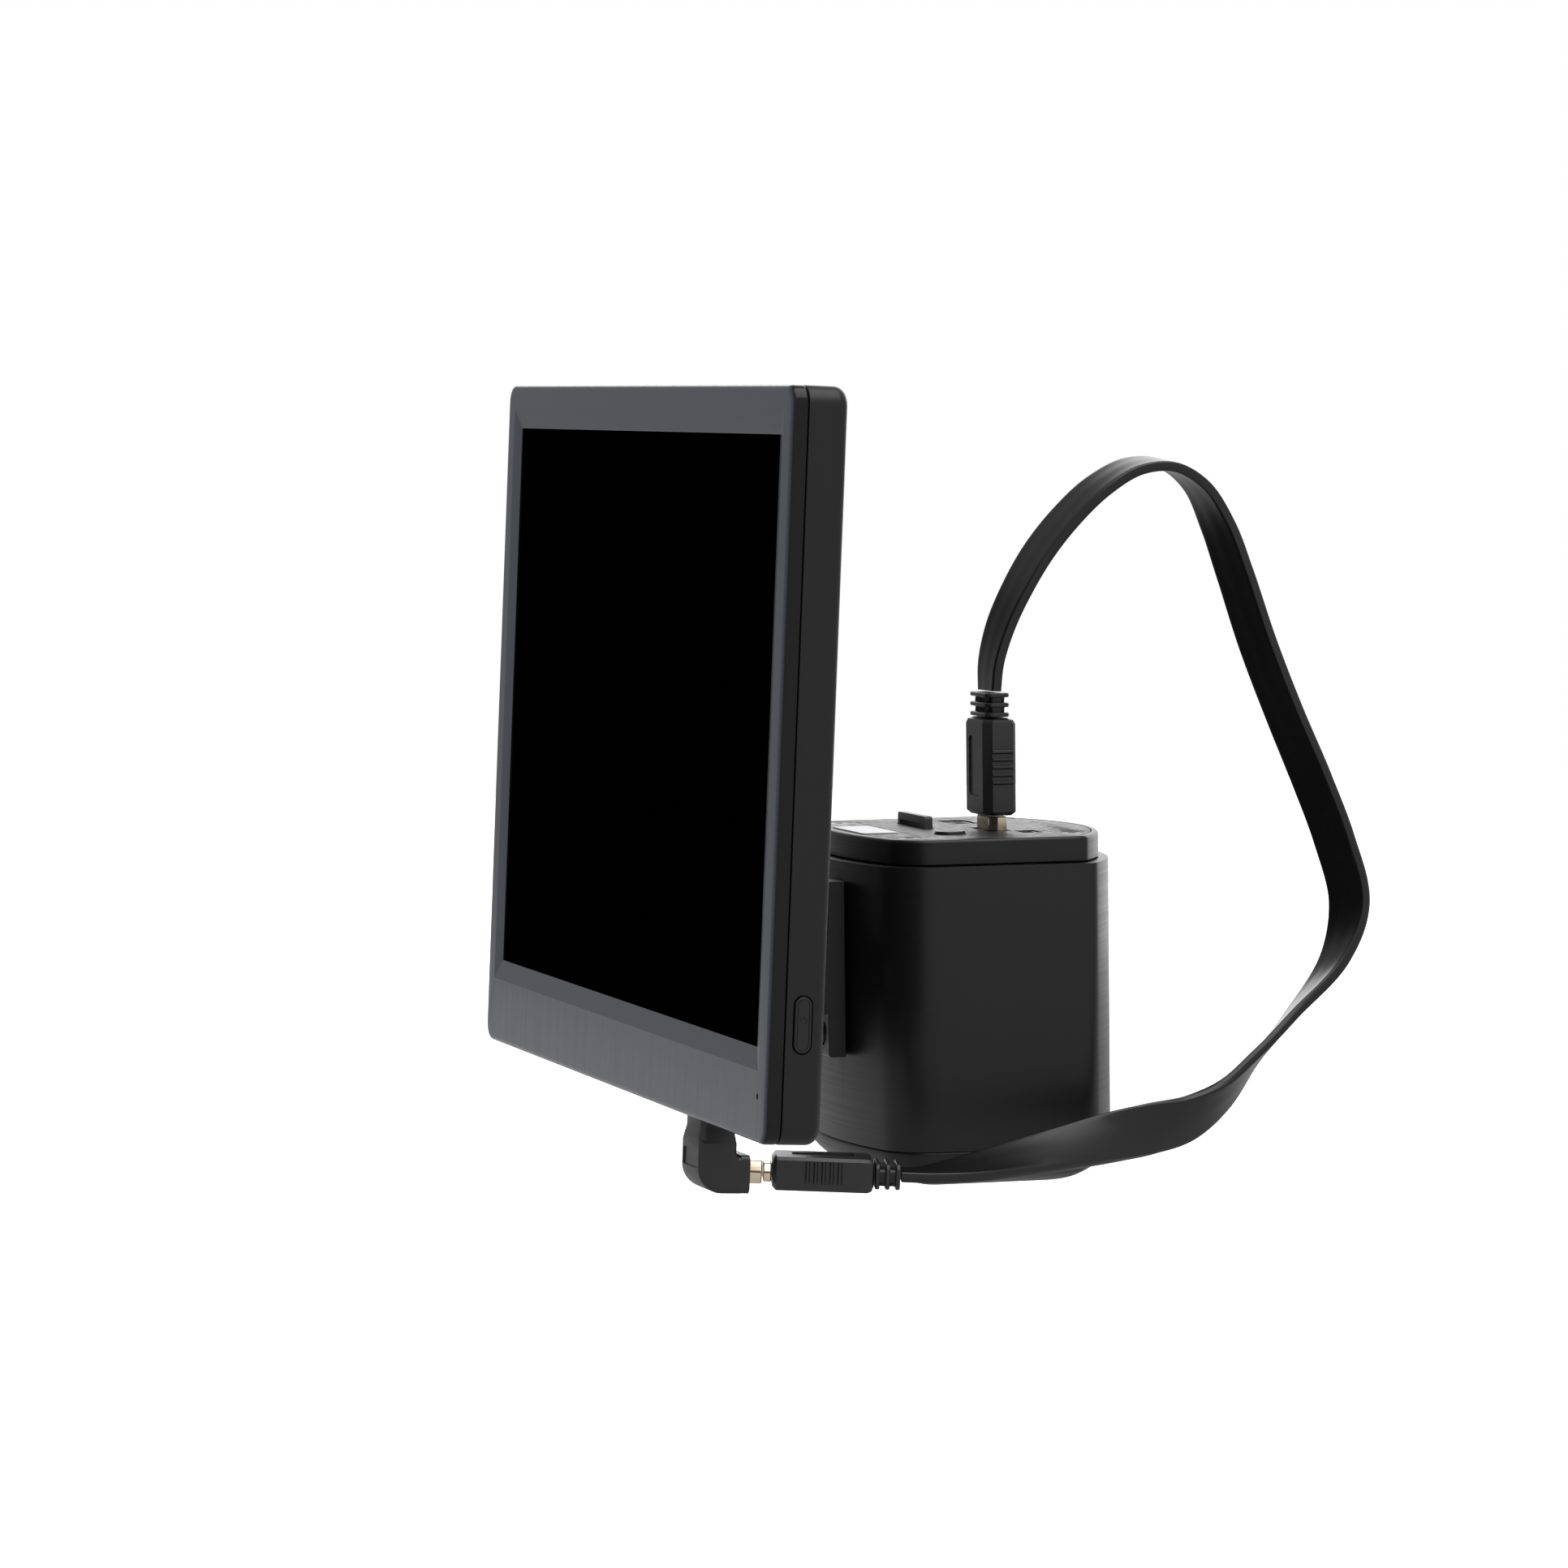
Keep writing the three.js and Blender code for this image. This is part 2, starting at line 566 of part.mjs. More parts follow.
function buildHingePin() {
  const earInner = ARM.halfX + GAP + 1 + GAP;
  const earOuter = earInner + EAR.thick;
  const pin = lathe([
    [0, -earOuter - 4], [5, -earOuter - 4], [5.5, -earOuter - 3.4], [5.5, -earOuter - GAP],
    [HINGE.pinR, -earOuter - GAP], [HINGE.pinR, earOuter + 6], [0, earOuter + 6],
  ], 20);
  addPart(magnifier, 'hinge_pin', alongHinge(pin), LOOKS.steel);

  const washer = lathe([[3.3, 0], [7, 0], [7, 1], [3.3, 1], [3.3, 0]], 20);
  const left = washer.translate([0, 0, -ARM.halfX - GAP - 1]);
  const right = washer.translate([0, 0, ARM.halfX + GAP]);
  addPart(magnifier, 'friction_washer_left', alongHinge(left), LOOKS.steel);
  addPart(magnifier, 'friction_washer_right', alongHinge(right), LOOKS.steel);

  const hex = rod(5.8, 0, 4.5, 6).subtract(rod(3.3, -1, 6, 16));
  addPart(magnifier, 'hinge_nut', alongHinge(hex.translate([0, 0, earOuter + GAP])), LOOKS.steel);
}

// ---------------------------------------------------------------- monitor bracket (from the hinge axis)

const BRACKET = { halfX: 32, z: [-24, 26], thick: 4 };
const monitorBack = SCREEN_PLACE.y + MONITOR.backY;
const bracketScrews = [[-26, -18], [26, -18], [-26, 20], [26, 20]];

function buildMonitorBracket() {
  const y0 = monitorBack + GAP;
  const y1 = y0 + BRACKET.thick;
  const midZ = (BRACKET.z[0] + BRACKET.z[1]) / 2;
  const halfZ = (BRACKET.z[1] - BRACKET.z[0]) / 2;
  let bracket = prism(roundRect(BRACKET.halfX, halfZ, 4), 0, BRACKET.thick, 4);
  bracket = aim(bracket, '+y').translate([0, y0, midZ]);
  const ear = new THREE.Shape();
  ear.moveTo(y1 - 0.5, -EAR.halfZ);
  ear.lineTo(y1 + 2, -EAR.halfZ);
  ear.lineTo(0, -HINGE.knuckleR);
  ear.absarc(0, 0, HINGE.knuckleR, -Math.PI / 2, Math.PI / 2);
  ear.lineTo(y1 + 2, EAR.halfZ);
  ear.lineTo(y1 - 0.5, EAR.halfZ);
  ear.closePath();
  const inner = ARM.halfX + GAP + 1 + GAP;
  [[inner, inner + EAR.thick], [-inner - EAR.thick, -inner]].forEach(([x0, x1]) => {
    bracket = bracket.add(sidePrism(ear, x0, x1, 10));
  });
  bracket = bracket.subtract(aim(rod(HINGE.boreR, -30, 30, 20), '+x'));
  bracketScrews.forEach(([x, z]) => {
    bracket = bracket.subtract(aim(rod(2, -10, 10, 10), '+y').translate([x, y0, z]));
  });
  addPart(tilting, 'monitor_bracket', bracket, LOOKS.anodised);

  bracketScrews.forEach(([x, z], i) => {
    const screw = aim(capScrew(3.2, 2, 1.5, 8.6, 14), '-y').translate([x, y1 + GAP + 2, z]);
    addPart(tilting, `monitor_screw_${i + 1}`, screw, LOOKS.blackSteel);
  });
}

// ---------------------------------------------------------------- monitor (from the middle of the screen)

const monitorMidZ = (MONITOR.topZ + MONITOR.bottomZ) / 2;
const monitorHalfZ = (MONITOR.topZ - MONITOR.bottomZ) / 2;

// lofted layers that run from y0 at the front to the back; each is [y, inset from the outer edge]
function monitorBody(layers) {
  const body = loft(layers.map(([y, inset]) => ({
    halfX: MONITOR.halfX - inset,
    halfY: monitorHalfZ - inset,
    radius: Math.max(MONITOR_CORNER - inset, 0.6),
    z: y,
  })), 5);
  return aim(body, '+y').translate([0, 0, monitorMidZ]);
}

function portHole() {
  const { x, y } = PORT;
  return box([x - 8.05, x + 8.05], [y - 3.35, y + 3.35], [MONITOR.bottomZ - 2, MONITOR.bottomZ + 4]);
}

function buildRearShell() {
  const { partingY, backY } = MONITOR;
  const frontY = partingY + GAP / 2;
  let shell = monitorBody([
    [frontY, 0.25], [frontY + 0.3, 0], [backY - 3, 0], [backY - 1.5, 0.4], [backY - 0.5, 1.5], [backY, 3],
  ]);
  shell = shell.subtract(monitorBody([[frontY - 1, 2], [backY - 3, 2], [backY - 2, 3]]));
  shell = shell.subtract(portHole());
  const { y, z, halfY, halfZ } = POWER;
  const slot = prism(roundRect(halfZ + GAP, halfY + GAP, halfY + GAP - 0.01), 0, 10, 6);
  shell = shell.subtract(aim(slot, '+x').translate([MONITOR.halfX - 5, y, z]));
  bracketScrews.forEach(([sx, sz]) => {
    const hole = aim(rod(1.9, -6, 6, 10), '+y');
    shell = shell.subtract(hole.translate([sx, backY, sz - SCREEN_PLACE.z]));
  });
  addPart(display, 'rear_shell', shell, LOOKS.rearPlastic);
}

function buildBezel() {
  const { frontY, partingY } = MONITOR;
  const backEdge = partingY - GAP / 2;
  let bezel = monitorBody([
    [frontY, 1.6], [frontY + 0.5, 0.5], [frontY + 1.4, 0], [backEdge - 0.3, 0], [backEdge, 0.25],
  ]);
  const face = 0.6;
  bezel = bezel.subtract(monitorBody([[face, 2.2], [backEdge + 1, 2.2]]));
  const [w, h] = [SCREEN.width / 2, SCREEN.height / 2];
  const opening = loft([
    { halfX: w + BEVEL + 1, halfY: h + BEVEL + 1, radius: 0.5, z: frontY - 0.2 },
    { halfX: w, halfY: h, radius: 0.5, z: 0 },
    { halfX: w, halfY: h, radius: 0.5, z: 5 },
  ], 1);
  bezel = bezel.subtract(aim(opening, '+y'));
  bezel = bezel.subtract(portHole());
  bezel = bezel.subtract(aim(rod(0.9, -3, 3, 10), '+y').translate([LED_XZ[0], 0, LED_XZ[1]]));
  addPart(display, 'front_bezel', bezel, LOOKS.bezel);
}

function buildScreenStack() {
  const panel = box([-131.6, 131.6], [0.9, 3.4], [-75.4, 75.4]);
  addPart(display, 'lcd_panel', panel, LOOKS.screen);
  const backlight = box([-131, 131], [3.7, 6.4], [-74.8, 74.8]);
  addPart(display, 'backlight_unit', backlight, LOOKS.aluminium);
  let board = box([18, 112], [8.7, 10], [-91, -28]);
  board = join(board, box([40, 56], [7, 8.8], [-60, -44]), box([80, 92], [7.2, 8.8], [-62, -50]));
  addPart(display, 'driver_board', board, LOOKS.board);
  const lens = aim(rod(0.6, -0.7, 2.4, 10), '+y').translate([LED_XZ[0], 0, LED_XZ[1]]);
  addPart(display, 'led_lens', lens, LOOKS.label);
}

function buildMonitorSocket() {
  const { x, y } = PORT;
  let socket = box([x - 7.75, x + 7.75], [y - 3.05, y + 3.05], [MONITOR.bottomZ + 0.3, -82]);
  socket = socket.subtract(box([x - 7.25, x + 7.25], [y - 2.55, y + 2.55], [-96, -84]));
  addPart(display, 'monitor_hdmi_socket', socket, LOOKS.nickel);
}

function buildPowerButton() {
  const { y, z, halfY, halfZ, proud } = POWER;
  const outerX = MONITOR.halfX + proud;
  let button = prism(roundRect(halfZ, halfY, halfY - 0.01), 0, 3.3, 6);
  button = button.add(prism(roundRect(halfZ + 1.2, halfY + 0.55, halfY + 0.5), -0.9, 0.1, 4));
  // shallow ring round the push area
  const ring = prism(roundRect(halfZ - 0.7, halfY - 0.5, halfY - 0.55), 3.1, 4, 6)
    .subtract(prism(roundRect(halfZ - 1, halfY - 0.8, halfY - 0.85), 3, 5, 6));
  button = button.subtract(ring);
  button = aim(button, '+x').translate([outerX - 3.3, y, z]);
  addPart(display, 'power_button', button, LOOKS.blackPlastic);
}

// ---------------------------------------------------------------- HDMI adapter and plugs

// outline of a plug's metal shell: a flat D with two slanted corners on its narrow side
function shellOutline(grow = 0) {
  const w = SHELL.width / 2 + grow;
  const t = SHELL.thick / 2 + grow;
  const shape = new THREE.Shape();
  [[-w, t], [-w, -t * 0.1], [-w + 2.2, -t], [w - 2.2, -t], [w, -t * 0.1], [w, t]]
    .reverse()
    .forEach(([x, y], i) => (i ? shape.lineTo(x, y) : shape.moveTo(x, y)));
  shape.closePath();
  return shape;
}

// two large chamfers on the -Y side, small ones on the +Y side
function plugBody() {
  const { width, thick, length, chamfer, edge } = PLUG;
  const ring = (inset, z) => {
    const w = width / 2 - inset;
    const t = thick / 2 - inset;
    const right = [[w - chamfer, -t], [w, chamfer - t], [w, t - edge], [w - edge, t]];
    const left = right.map(([x, y]) => [-x, y]).reverse();
    return [...right, ...left].flatMap(([x, y]) => [x, y, z]);
  };
  return skin([ring(0.9, 0), ring(0, 0.9), ring(0, length - 1.5), ring(1.5, length)]);
}

function reliefBody() {
  const { width, thick, core, coreThick, length, ring } = RELIEF;
  const wide = (z) => ({ halfX: width / 2, halfY: thick / 2, radius: 3, z });
  const slim = (z) => ({ halfX: core / 2, halfY: coreThick / 2, radius: 1.6, z });
  const pitch = (length - ring) / 2;
  const layers = [];
  for (let i = 0; i < 3; i += 1) {
    layers.push(wide(i * pitch), wide(i * pitch + ring));
    if (i < 2) layers.push(slim(i * pitch + ring + 0.1), slim((i + 1) * pitch - 0.1));
  }
  return loft(layers, 3);
}

function buildUpperPlug() {
  const place = [...HDMI_XY, 0];
  const reliefZ = PLUG_Z + PLUG.length + GAP;
  addPart(magnifier, 'upper_plug_body', plugBody().translate(place).translate([0, 0, PLUG_Z]), LOOKS.overmould);
  const shell = prism(shellOutline(), 79, PLUG_Z - GAP).translate(place);
  addPart(magnifier, 'upper_plug_shell', shell, LOOKS.gold);
  const relief = reliefBody().translate(place).translate([0, 0, reliefZ]);
  addPart(magnifier, 'upper_strain_relief', relief, LOOKS.overmould);
}

// the lower plug and its socket, measured from the adapter's end, with y along the plug
const lowerPlug = new THREE.Group();
lowerPlug.position.set(PORT.x, ADAPTER.backY, LOWER_PLUG.z);
lowerPlug.rotation.z = THREE.MathUtils.degToRad(-LOWER_PLUG.yaw);
display.add(lowerPlug);

function buildAdapter() {
  const { width, edgeR, frontY, uprightThick, backY, topZ, flangeZ, bottomZ, lyingHeight, elbowR } = ADAPTER;
  const legBack = frontY + uprightThick;
  const legTop = bottomZ + lyingHeight;
  const step = 0.5; // of the narrower top and of the collar round the socket
  const side = new THREE.Shape();
  side.moveTo(frontY + step, topZ);
  side.lineTo(frontY + step, flangeZ + step);
  side.lineTo(frontY, flangeZ);
  side.lineTo(frontY, bottomZ + elbowR);
  side.absarc(frontY + elbowR, bottomZ + elbowR, elbowR, Math.PI, Math.PI * 1.5);
  side.lineTo(backY, bottomZ);
  side.lineTo(backY, legTop);
  side.lineTo(backY - 2.2, legTop);
  side.lineTo(backY - 2.2, legTop - step);
  side.lineTo(legBack, legTop - step);
  side.lineTo(legBack, flangeZ);
  side.lineTo(legBack - step, flangeZ + step);
  side.lineTo(legBack - step, topZ);
  side.closePath();
  let body = sidePrism(side, PORT.x - width / 2, PORT.x + width / 2, 6);
  // rounded long edges: what lies inside a rounded sleeve along each leg
  const sleeve = (thick) => loft([
    { halfX: width / 2, halfY: thick / 2 + 0.01, radius: edgeR, z: 0 },
    { halfX: width / 2, halfY: thick / 2 + 0.01, radius: edgeR, z: 24 },
  ], 3);
  const upright = sleeve(uprightThick).translate([PORT.x, frontY + uprightThick / 2, bottomZ - 1]);
  const lying = aim(sleeve(lyingHeight), '+y').translate([PORT.x, frontY - 1, bottomZ + lyingHeight / 2]);
  body = body.intersect(upright.add(lying));
  const pocket = aim(prism(shellOutline(0.5 + GAP), COLLAR.start - GAP, 8), '+y');
  body = body.subtract(pocket.rotate([0, 0, -LOWER_PLUG.yaw]).translate([PORT.x, backY, LOWER_PLUG.z]));
  addPart(display, 'adapter_body', body, LOOKS.overmould);

  const pins = prism(shellOutline(), MONITOR.bottomZ, -85).translate([PORT.x, PORT.y, 0]);
  addPart(display, 'adapter_plug_shell', pins, LOOKS.gold);
  const collar = aim(prism(shellOutline(0.5), COLLAR.start, COLLAR.end), '+y');
  addPart(lowerPlug, 'adapter_collar', collar, LOOKS.gold);
}

function buildLowerPlug() {
  const neckY = COLLAR.end + GAP;
  const bodyY = neckY + COLLAR.neck + GAP;
  const lay = (manifold, y) => aim(manifold, '+y').translate([0, y, 0]);
  addPart(lowerPlug, 'lower_plug_shell', lay(prism(shellOutline(), 0, COLLAR.neck), neckY), LOOKS.gold);
  addPart(lowerPlug, 'lower_plug_body', lay(plugBody().rotate([0, 0, 180]), bodyY), LOOKS.overmould);
  const relief = lay(reliefBody(), bodyY + PLUG.length + GAP);
  addPart(lowerPlug, 'lower_strain_relief', relief, LOOKS.overmould);
}

// ---------------------------------------------------------------- flat cable

// a smooth path whose section is turned about it by the route's fourth number
class RibbonPath extends THREE.CatmullRomCurve3 {
  constructor(route) {
    super(route.map(([x, y, z]) => new THREE.Vector3(x, y, z)), false, 'centripetal');
    this.turns = new THREE.CatmullRomCurve3(route.map(([, , , turn]) => new THREE.Vector3(turn, 0, 0)));
  }

  computeFrenetFrames(segments) {
    const frames = { tangents: [], normals: [], binormals: [] };
    for (let i = 0; i <= segments; i += 1) {
      const tangent = this.getTangentAt(i / segments);
      const turn = this.turns.getPoint(this.getUtoTmapping(i / segments)).x;
      const across = new THREE.Vector3(1, 0, 0).addScaledVector(tangent, -tangent.x).normalize();
      across.applyAxisAngle(tangent, -THREE.MathUtils.degToRad(turn));
      frames.tangents.push(tangent);
      frames.normals.push(across);
      frames.binormals.push(new THREE.Vector3().crossVectors(tangent, across));
    }
    return frames;
  }
}

function buildRibbon() {
  const { width, thick, steps } = RIBBON;
  const [w, t, c] = [width / 2, thick / 2, 0.7];
  const section = new THREE.Shape();
  [[w, -t + c], [w, t - c], [w - c, t], [-w + c, t], [-w, t - c], [-w, -t + c], [-w + c, -t], [w - c, -t]]
    .forEach(([x, y], i) => (i ? section.lineTo(x, y) : section.moveTo(x, y)));
  section.closePath();
  const geometry = new THREE.ExtrudeGeometry(section, { steps, extrudePath: new RibbonPath(RIBBON_ROUTE) });
  addPart(magnifier, 'ribbon_cable', solid(geometry), LOOKS.cable);
}

// ---------------------------------------------------------------- build

buildCameraShell();
buildBaseCap();
buildBaseScrews();
buildTopCap();
buildPortPlate();
buildPlateScrews();
buildLabel();
buildHdmiSocket();
buildUsbASocket();
buildMiniUsbSocket();
buildCardAndSlot();
buildCameraButton();
buildOptics();
buildBoards();
buildHingeArm();
buildHingePin();
buildMonitorBracket();
buildRearShell();
buildBezel();
buildScreenStack();
buildMonitorSocket();
buildPowerButton();
buildUpperPlug();
buildAdapter();
buildLowerPlug();
buildRibbon();

export default magnifier;
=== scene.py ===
"""The looks of a video magnifier: a camera head, a tilting monitor and the flat cable between them.

Lengths are in millimetres in the part's own frame. Pieces are scaled to metres when they are placed.
"""

import json
import math

import bmesh
import bpy
from mathutils import Matrix, Vector


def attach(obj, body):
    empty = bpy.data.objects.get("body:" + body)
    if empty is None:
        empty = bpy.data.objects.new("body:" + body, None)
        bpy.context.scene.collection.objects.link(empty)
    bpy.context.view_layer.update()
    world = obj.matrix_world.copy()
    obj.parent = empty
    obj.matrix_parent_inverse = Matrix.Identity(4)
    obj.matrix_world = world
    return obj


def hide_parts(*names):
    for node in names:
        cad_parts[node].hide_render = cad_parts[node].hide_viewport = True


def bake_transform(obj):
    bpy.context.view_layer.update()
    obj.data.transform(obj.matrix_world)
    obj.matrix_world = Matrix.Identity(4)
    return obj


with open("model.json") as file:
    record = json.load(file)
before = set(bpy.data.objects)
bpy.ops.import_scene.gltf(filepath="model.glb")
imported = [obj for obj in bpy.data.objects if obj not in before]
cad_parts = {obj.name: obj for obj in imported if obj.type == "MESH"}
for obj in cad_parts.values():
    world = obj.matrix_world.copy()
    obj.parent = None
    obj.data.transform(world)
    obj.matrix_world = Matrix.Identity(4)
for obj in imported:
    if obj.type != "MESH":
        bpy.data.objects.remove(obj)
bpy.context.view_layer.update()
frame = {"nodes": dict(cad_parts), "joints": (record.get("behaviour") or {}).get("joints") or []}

MM = 0.001
HEAD_SPACE = Matrix.Identity(4)
REST_TILT = math.radians(-2.9)
SCREEN_PLACE = (0, -31.8, 64.5)  # the middle of the screen's face, from the hinge axis
LOWER_PLUG_YAW = math.radians(-14.5)
tilt_joint = next(j for j in frame["joints"] if j["name"] == "monitor_tilt")
hinge = Vector(tilt_joint["pos_m"]) / MM
TILT_SPACE = Matrix.Translation(hinge) @ Matrix.Rotation(REST_TILT, 4, "X")
# the display's own space: the middle of the screen's face, y towards the back
DISPLAY_SPACE = TILT_SPACE @ Matrix.Translation(SCREEN_PLACE)
# the lower plug's axis, seen from the display's space
LOWER_PLUG_LAY = Matrix.Translation((68, 14.1, -107.5)) @ Matrix.Rotation(LOWER_PLUG_YAW, 4, "Z")

# turns a body modelled along +Z towards +Y or -Y
ALONG_Y = Matrix.Rotation(math.radians(-90), 4, "X")
AGAINST_Y = Matrix.Rotation(math.radians(90), 4, "X")


def extent(node, space=HEAD_SPACE):
    """Lowest and highest corner of a CAD node, in that space, in millimetres."""
    back = space.inverted()
    points = [back @ (v.co / MM) for v in frame["nodes"][node].data.vertices]
    low = Vector([min(p[i] for p in points) for i in range(3)])
    high = Vector([max(p[i] for p in points) for i in range(3)])
    return low, high


# ------------------------------------------------------------------ camera

AZIMUTH, ELEVATION, ROLL = (math.radians(a) for a in (74.198, 3.459, -0.593))
CAMERA_DISTANCE = 1768.87
CAMERA_TARGET = Vector((0, 0, 48))
CAMERA_SHIFT = (44.456, -51.484)  # of the target from the picture's middle, right and up


def make_camera():
    forward = Vector((
        -math.sin(AZIMUTH) * math.cos(ELEVATION),
        math.cos(AZIMUTH) * math.cos(ELEVATION),
        -math.sin(ELEVATION),
    ))
    right = Vector((math.cos(AZIMUTH), math.sin(AZIMUTH), 0))
    up = right.cross(forward)
    rolled_right = right * math.cos(ROLL) + up * math.sin(ROLL)
    rolled_up = up * math.cos(ROLL) - right * math.sin(ROLL)
    place = CAMERA_TARGET - forward * CAMERA_DISTANCE
    place = place - rolled_right * CAMERA_SHIFT[0] - rolled_up * CAMERA_SHIFT[1]
    data = bpy.data.cameras.new("camera")
    data.sensor_width = 36
    data.lens = 157.995
    data.clip_start = 0.05
    data.clip_end = 50
    camera = bpy.data.objects.new("camera", data)
    turn = Matrix((rolled_right, rolled_up, -forward)).transposed().to_4x4()
    camera.matrix_world = Matrix.Translation(place * MM) @ turn
    bpy.context.scene.collection.objects.link(camera)
    bpy.context.scene.camera = camera


# ------------------------------------------------------------------ outlines and bodies

def rounded(half_x, half_y, radius, arc=8, centre=(0, 0)):
    """Points of a rectangle with round corners, counter-clockwise."""
    points = []
    for corner, (sx, sy) in enumerate(((1, 1), (-1, 1), (-1, -1), (1, -1))):
        for i in range(arc + 1):
            angle = (corner + i / arc) * math.pi / 2
            x = centre[0] + sx * (half_x - radius) + radius * math.cos(angle)
            y = centre[1] + sy * (half_y - radius) + radius * math.sin(angle)
            points.append((x, y))
    return points


def arc_points(centre, radius, start, stop, steps=8):
    """Points of an arc from one angle to another, in degrees."""
    angles = [math.radians(start + (stop - start) * i / steps) for i in range(steps + 1)]
    return [(centre[0] + radius * math.cos(a), centre[1] + radius * math.sin(a)) for a in angles]


def layer(outline, t, axis="z"):
    """The outline's points in space, at t along the axis."""
    if axis == "x":
        return [(t, a, b) for a, b in outline]
    if axis == "y":
        return [(a, t, b) for a, b in outline]
    return [(a, b, t) for a, b in outline]


def skin(name, rings, loop=False):
    """A closed body through rings of equal point count, capped at both ends or joined end to end."""
    count = len(rings[0])
    faces = []
    for k in range(len(rings) if loop else len(rings) - 1):
        a = k * count
        b = (k + 1) % len(rings) * count
        for i in range(count):
            j = (i + 1) % count
            faces.append((a + i, a + j, b + j, b + i))
    if not loop:
        faces.append(tuple(reversed(range(count))))
        faces.append(tuple((len(rings) - 1) * count + i for i in range(count)))
    data = bpy.data.meshes.new(name)
    data.from_pydata([p for ring in rings for p in ring], [], faces)
    mesh = bmesh.new()
    mesh.from_mesh(data)
    bmesh.ops.recalc_face_normals(mesh, faces=mesh.faces)
    mesh.to_mesh(data)
    mesh.free()
    body = bpy.data.objects.new(name, data)
    bpy.context.scene.collection.objects.link(body)
    return body


def prism(name, outline, t0, t1, axis="z"):
    """An outline pulled along an axis."""
    return skin(name, [layer(outline, t0, axis), layer(outline, t1, axis)])


def block(name, x, y, z):
    """A bar with slightly round upright edges between the limits of x, y and z."""
    centre = ((x[0] + x[1]) / 2, (y[0] + y[1]) / 2)
    outline = rounded((x[1] - x[0]) / 2, (y[1] - y[0]) / 2, 0.08, 2, centre)
    return prism(name, outline, *z)


def lathe(name, profile, loop=False, segments=48, axis="z"):
    """Turns (radius, t) points about an axis; an open profile is closed by flat ends."""
    turns = [2 * math.pi * i / segments for i in range(segments)]
    circle = [(math.cos(a), math.sin(a)) for a in turns]
    rings = [layer([(radius * x, radius * y) for x, y in circle], t, axis) for radius, t in profile]
    return skin(name, rings, loop)


def hexagon(radius):
    return [(radius * math.cos(a), radius * math.sin(a)) for a in (i * math.pi / 3 for i in range(6))]


def moved(body, matrix):
    body.data.transform(matrix)
    return body


def shifted(body, x, y, z=0.0):
    return moved(body, Matrix.Translation((x, y, z)))


def combine(body, tools, operation="DIFFERENCE"):
    """Cuts the tools out of a body, or joins them to it, and removes them."""
    for tool in tools:
        modifier = body.modifiers.new("combine", "BOOLEAN")
        modifier.operation = operation
        modifier.solver = "EXACT"
        modifier.object = tool
    depsgraph = bpy.context.evaluated_depsgraph_get()
    result = bpy.data.meshes.new_from_object(body.evaluated_get(depsgraph))
    body.modifiers.clear()
    body.data = result
    for tool in tools:
        bpy.data.objects.remove(tool)
    return body


def round_edges(body, width, segments=3, angle=32):
    """Rounds the sharp edges and keeps the flat faces flat in the shading."""
    body.data.shade_smooth()
    body.data.set_sharp_from_angle(angle=math.radians(angle))
    if width:
        bevel = body.modifiers.new("bevel", "BEVEL")
        bevel.width = width * MM
        bevel.segments = segments
        bevel.limit_method = "ANGLE"
        bevel.angle_limit = math.radians(angle)
        bevel.miter_outer = "MITER_ARC"
        bevel.use_clamp_overlap = True
        bevel.harden_normals = True


def place(body, look, slot, ride_on, nodes=(), space=HEAD_SPACE, edge=0.2, segments=3, angle=32):
    """Scales a finished body to metres, dresses it and puts it on the CAD body that it rides on."""
    body.data.transform(Matrix.Scale(MM, 4) @ space)
    round_edges(body, edge, segments, angle)
    body.data.materials.clear()
    body.data.materials.append(LOOKS[look])
    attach(body, ride_on)
    if nodes:
        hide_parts(*nodes)
    return body


# ------------------------------------------------------------------ materials

def connect(tree, node, **inputs):
    """Sets a node's inputs to plain values, or links them to other nodes' outputs."""
    for name, value in inputs.items():
        socket = node.inputs[name.replace("_", " ")]
        if isinstance(value, bpy.types.NodeSocket):
            tree.links.new(value, socket)
        else:
            socket.default_value = value
    return node


def add_node(tree, kind, **inputs):
    return connect(tree, tree.nodes.new("ShaderNode" + kind), **inputs)


def shader(name, color, roughness, metallic=0.0, specular=0.5):
    material = bpy.data.materials.new(name)
    material.use_nodes = True
    tree = material.node_tree
    bsdf = tree.nodes["Principled BSDF"]
    connect(tree, bsdf, Base_Color=(*color, 1), Roughness=roughness)
    connect(tree, bsdf, Metallic=metallic, Specular_IOR_Level=specular)
    return material, tree, bsdf


def coordinates(tree, stretch=(1, 1, 1), output="Object"):
    source = add_node(tree, "TexCoord").outputs[output]
    return add_node(tree, "Mapping", Vector=source, Scale=stretch).outputs["Vector"]


def noise(tree, vector, scale, detail=3.0, roughness=0.5):
    node = add_node(tree, "TexNoise", Vector=vector, Scale=scale, Detail=detail, Roughness=roughness)
    return node.outputs["Fac"]


def spread(tree, value, low, high, start=0.3, stop=0.7):
    """Maps a value onto low to high; start and stop span the middle of a noise."""
    ends = {"From_Min": start, "From_Max": stop, "To_Min": low, "To_Max": high}
    return add_node(tree, "MapRange", Value=value, **ends).outputs["Result"]


def blend_colors(tree, factor, first, second):
    node = tree.nodes.new("ShaderNodeMix")
    node.data_type = "RGBA"
    for socket, value in ((node.inputs[6], first), (node.inputs[7], second)):
        if isinstance(value, bpy.types.NodeSocket):
            tree.links.new(value, socket)
        else:
            socket.default_value = (*value, 1)
    tree.links.new(factor, node.inputs[0])
    return node.outputs[2]


def tint(tree, bsdf, value, dark, light):
    """Varies the base colour between two close shades."""
    connect(tree, bsdf, Base_Color=blend_colors(tree, value, dark, light))


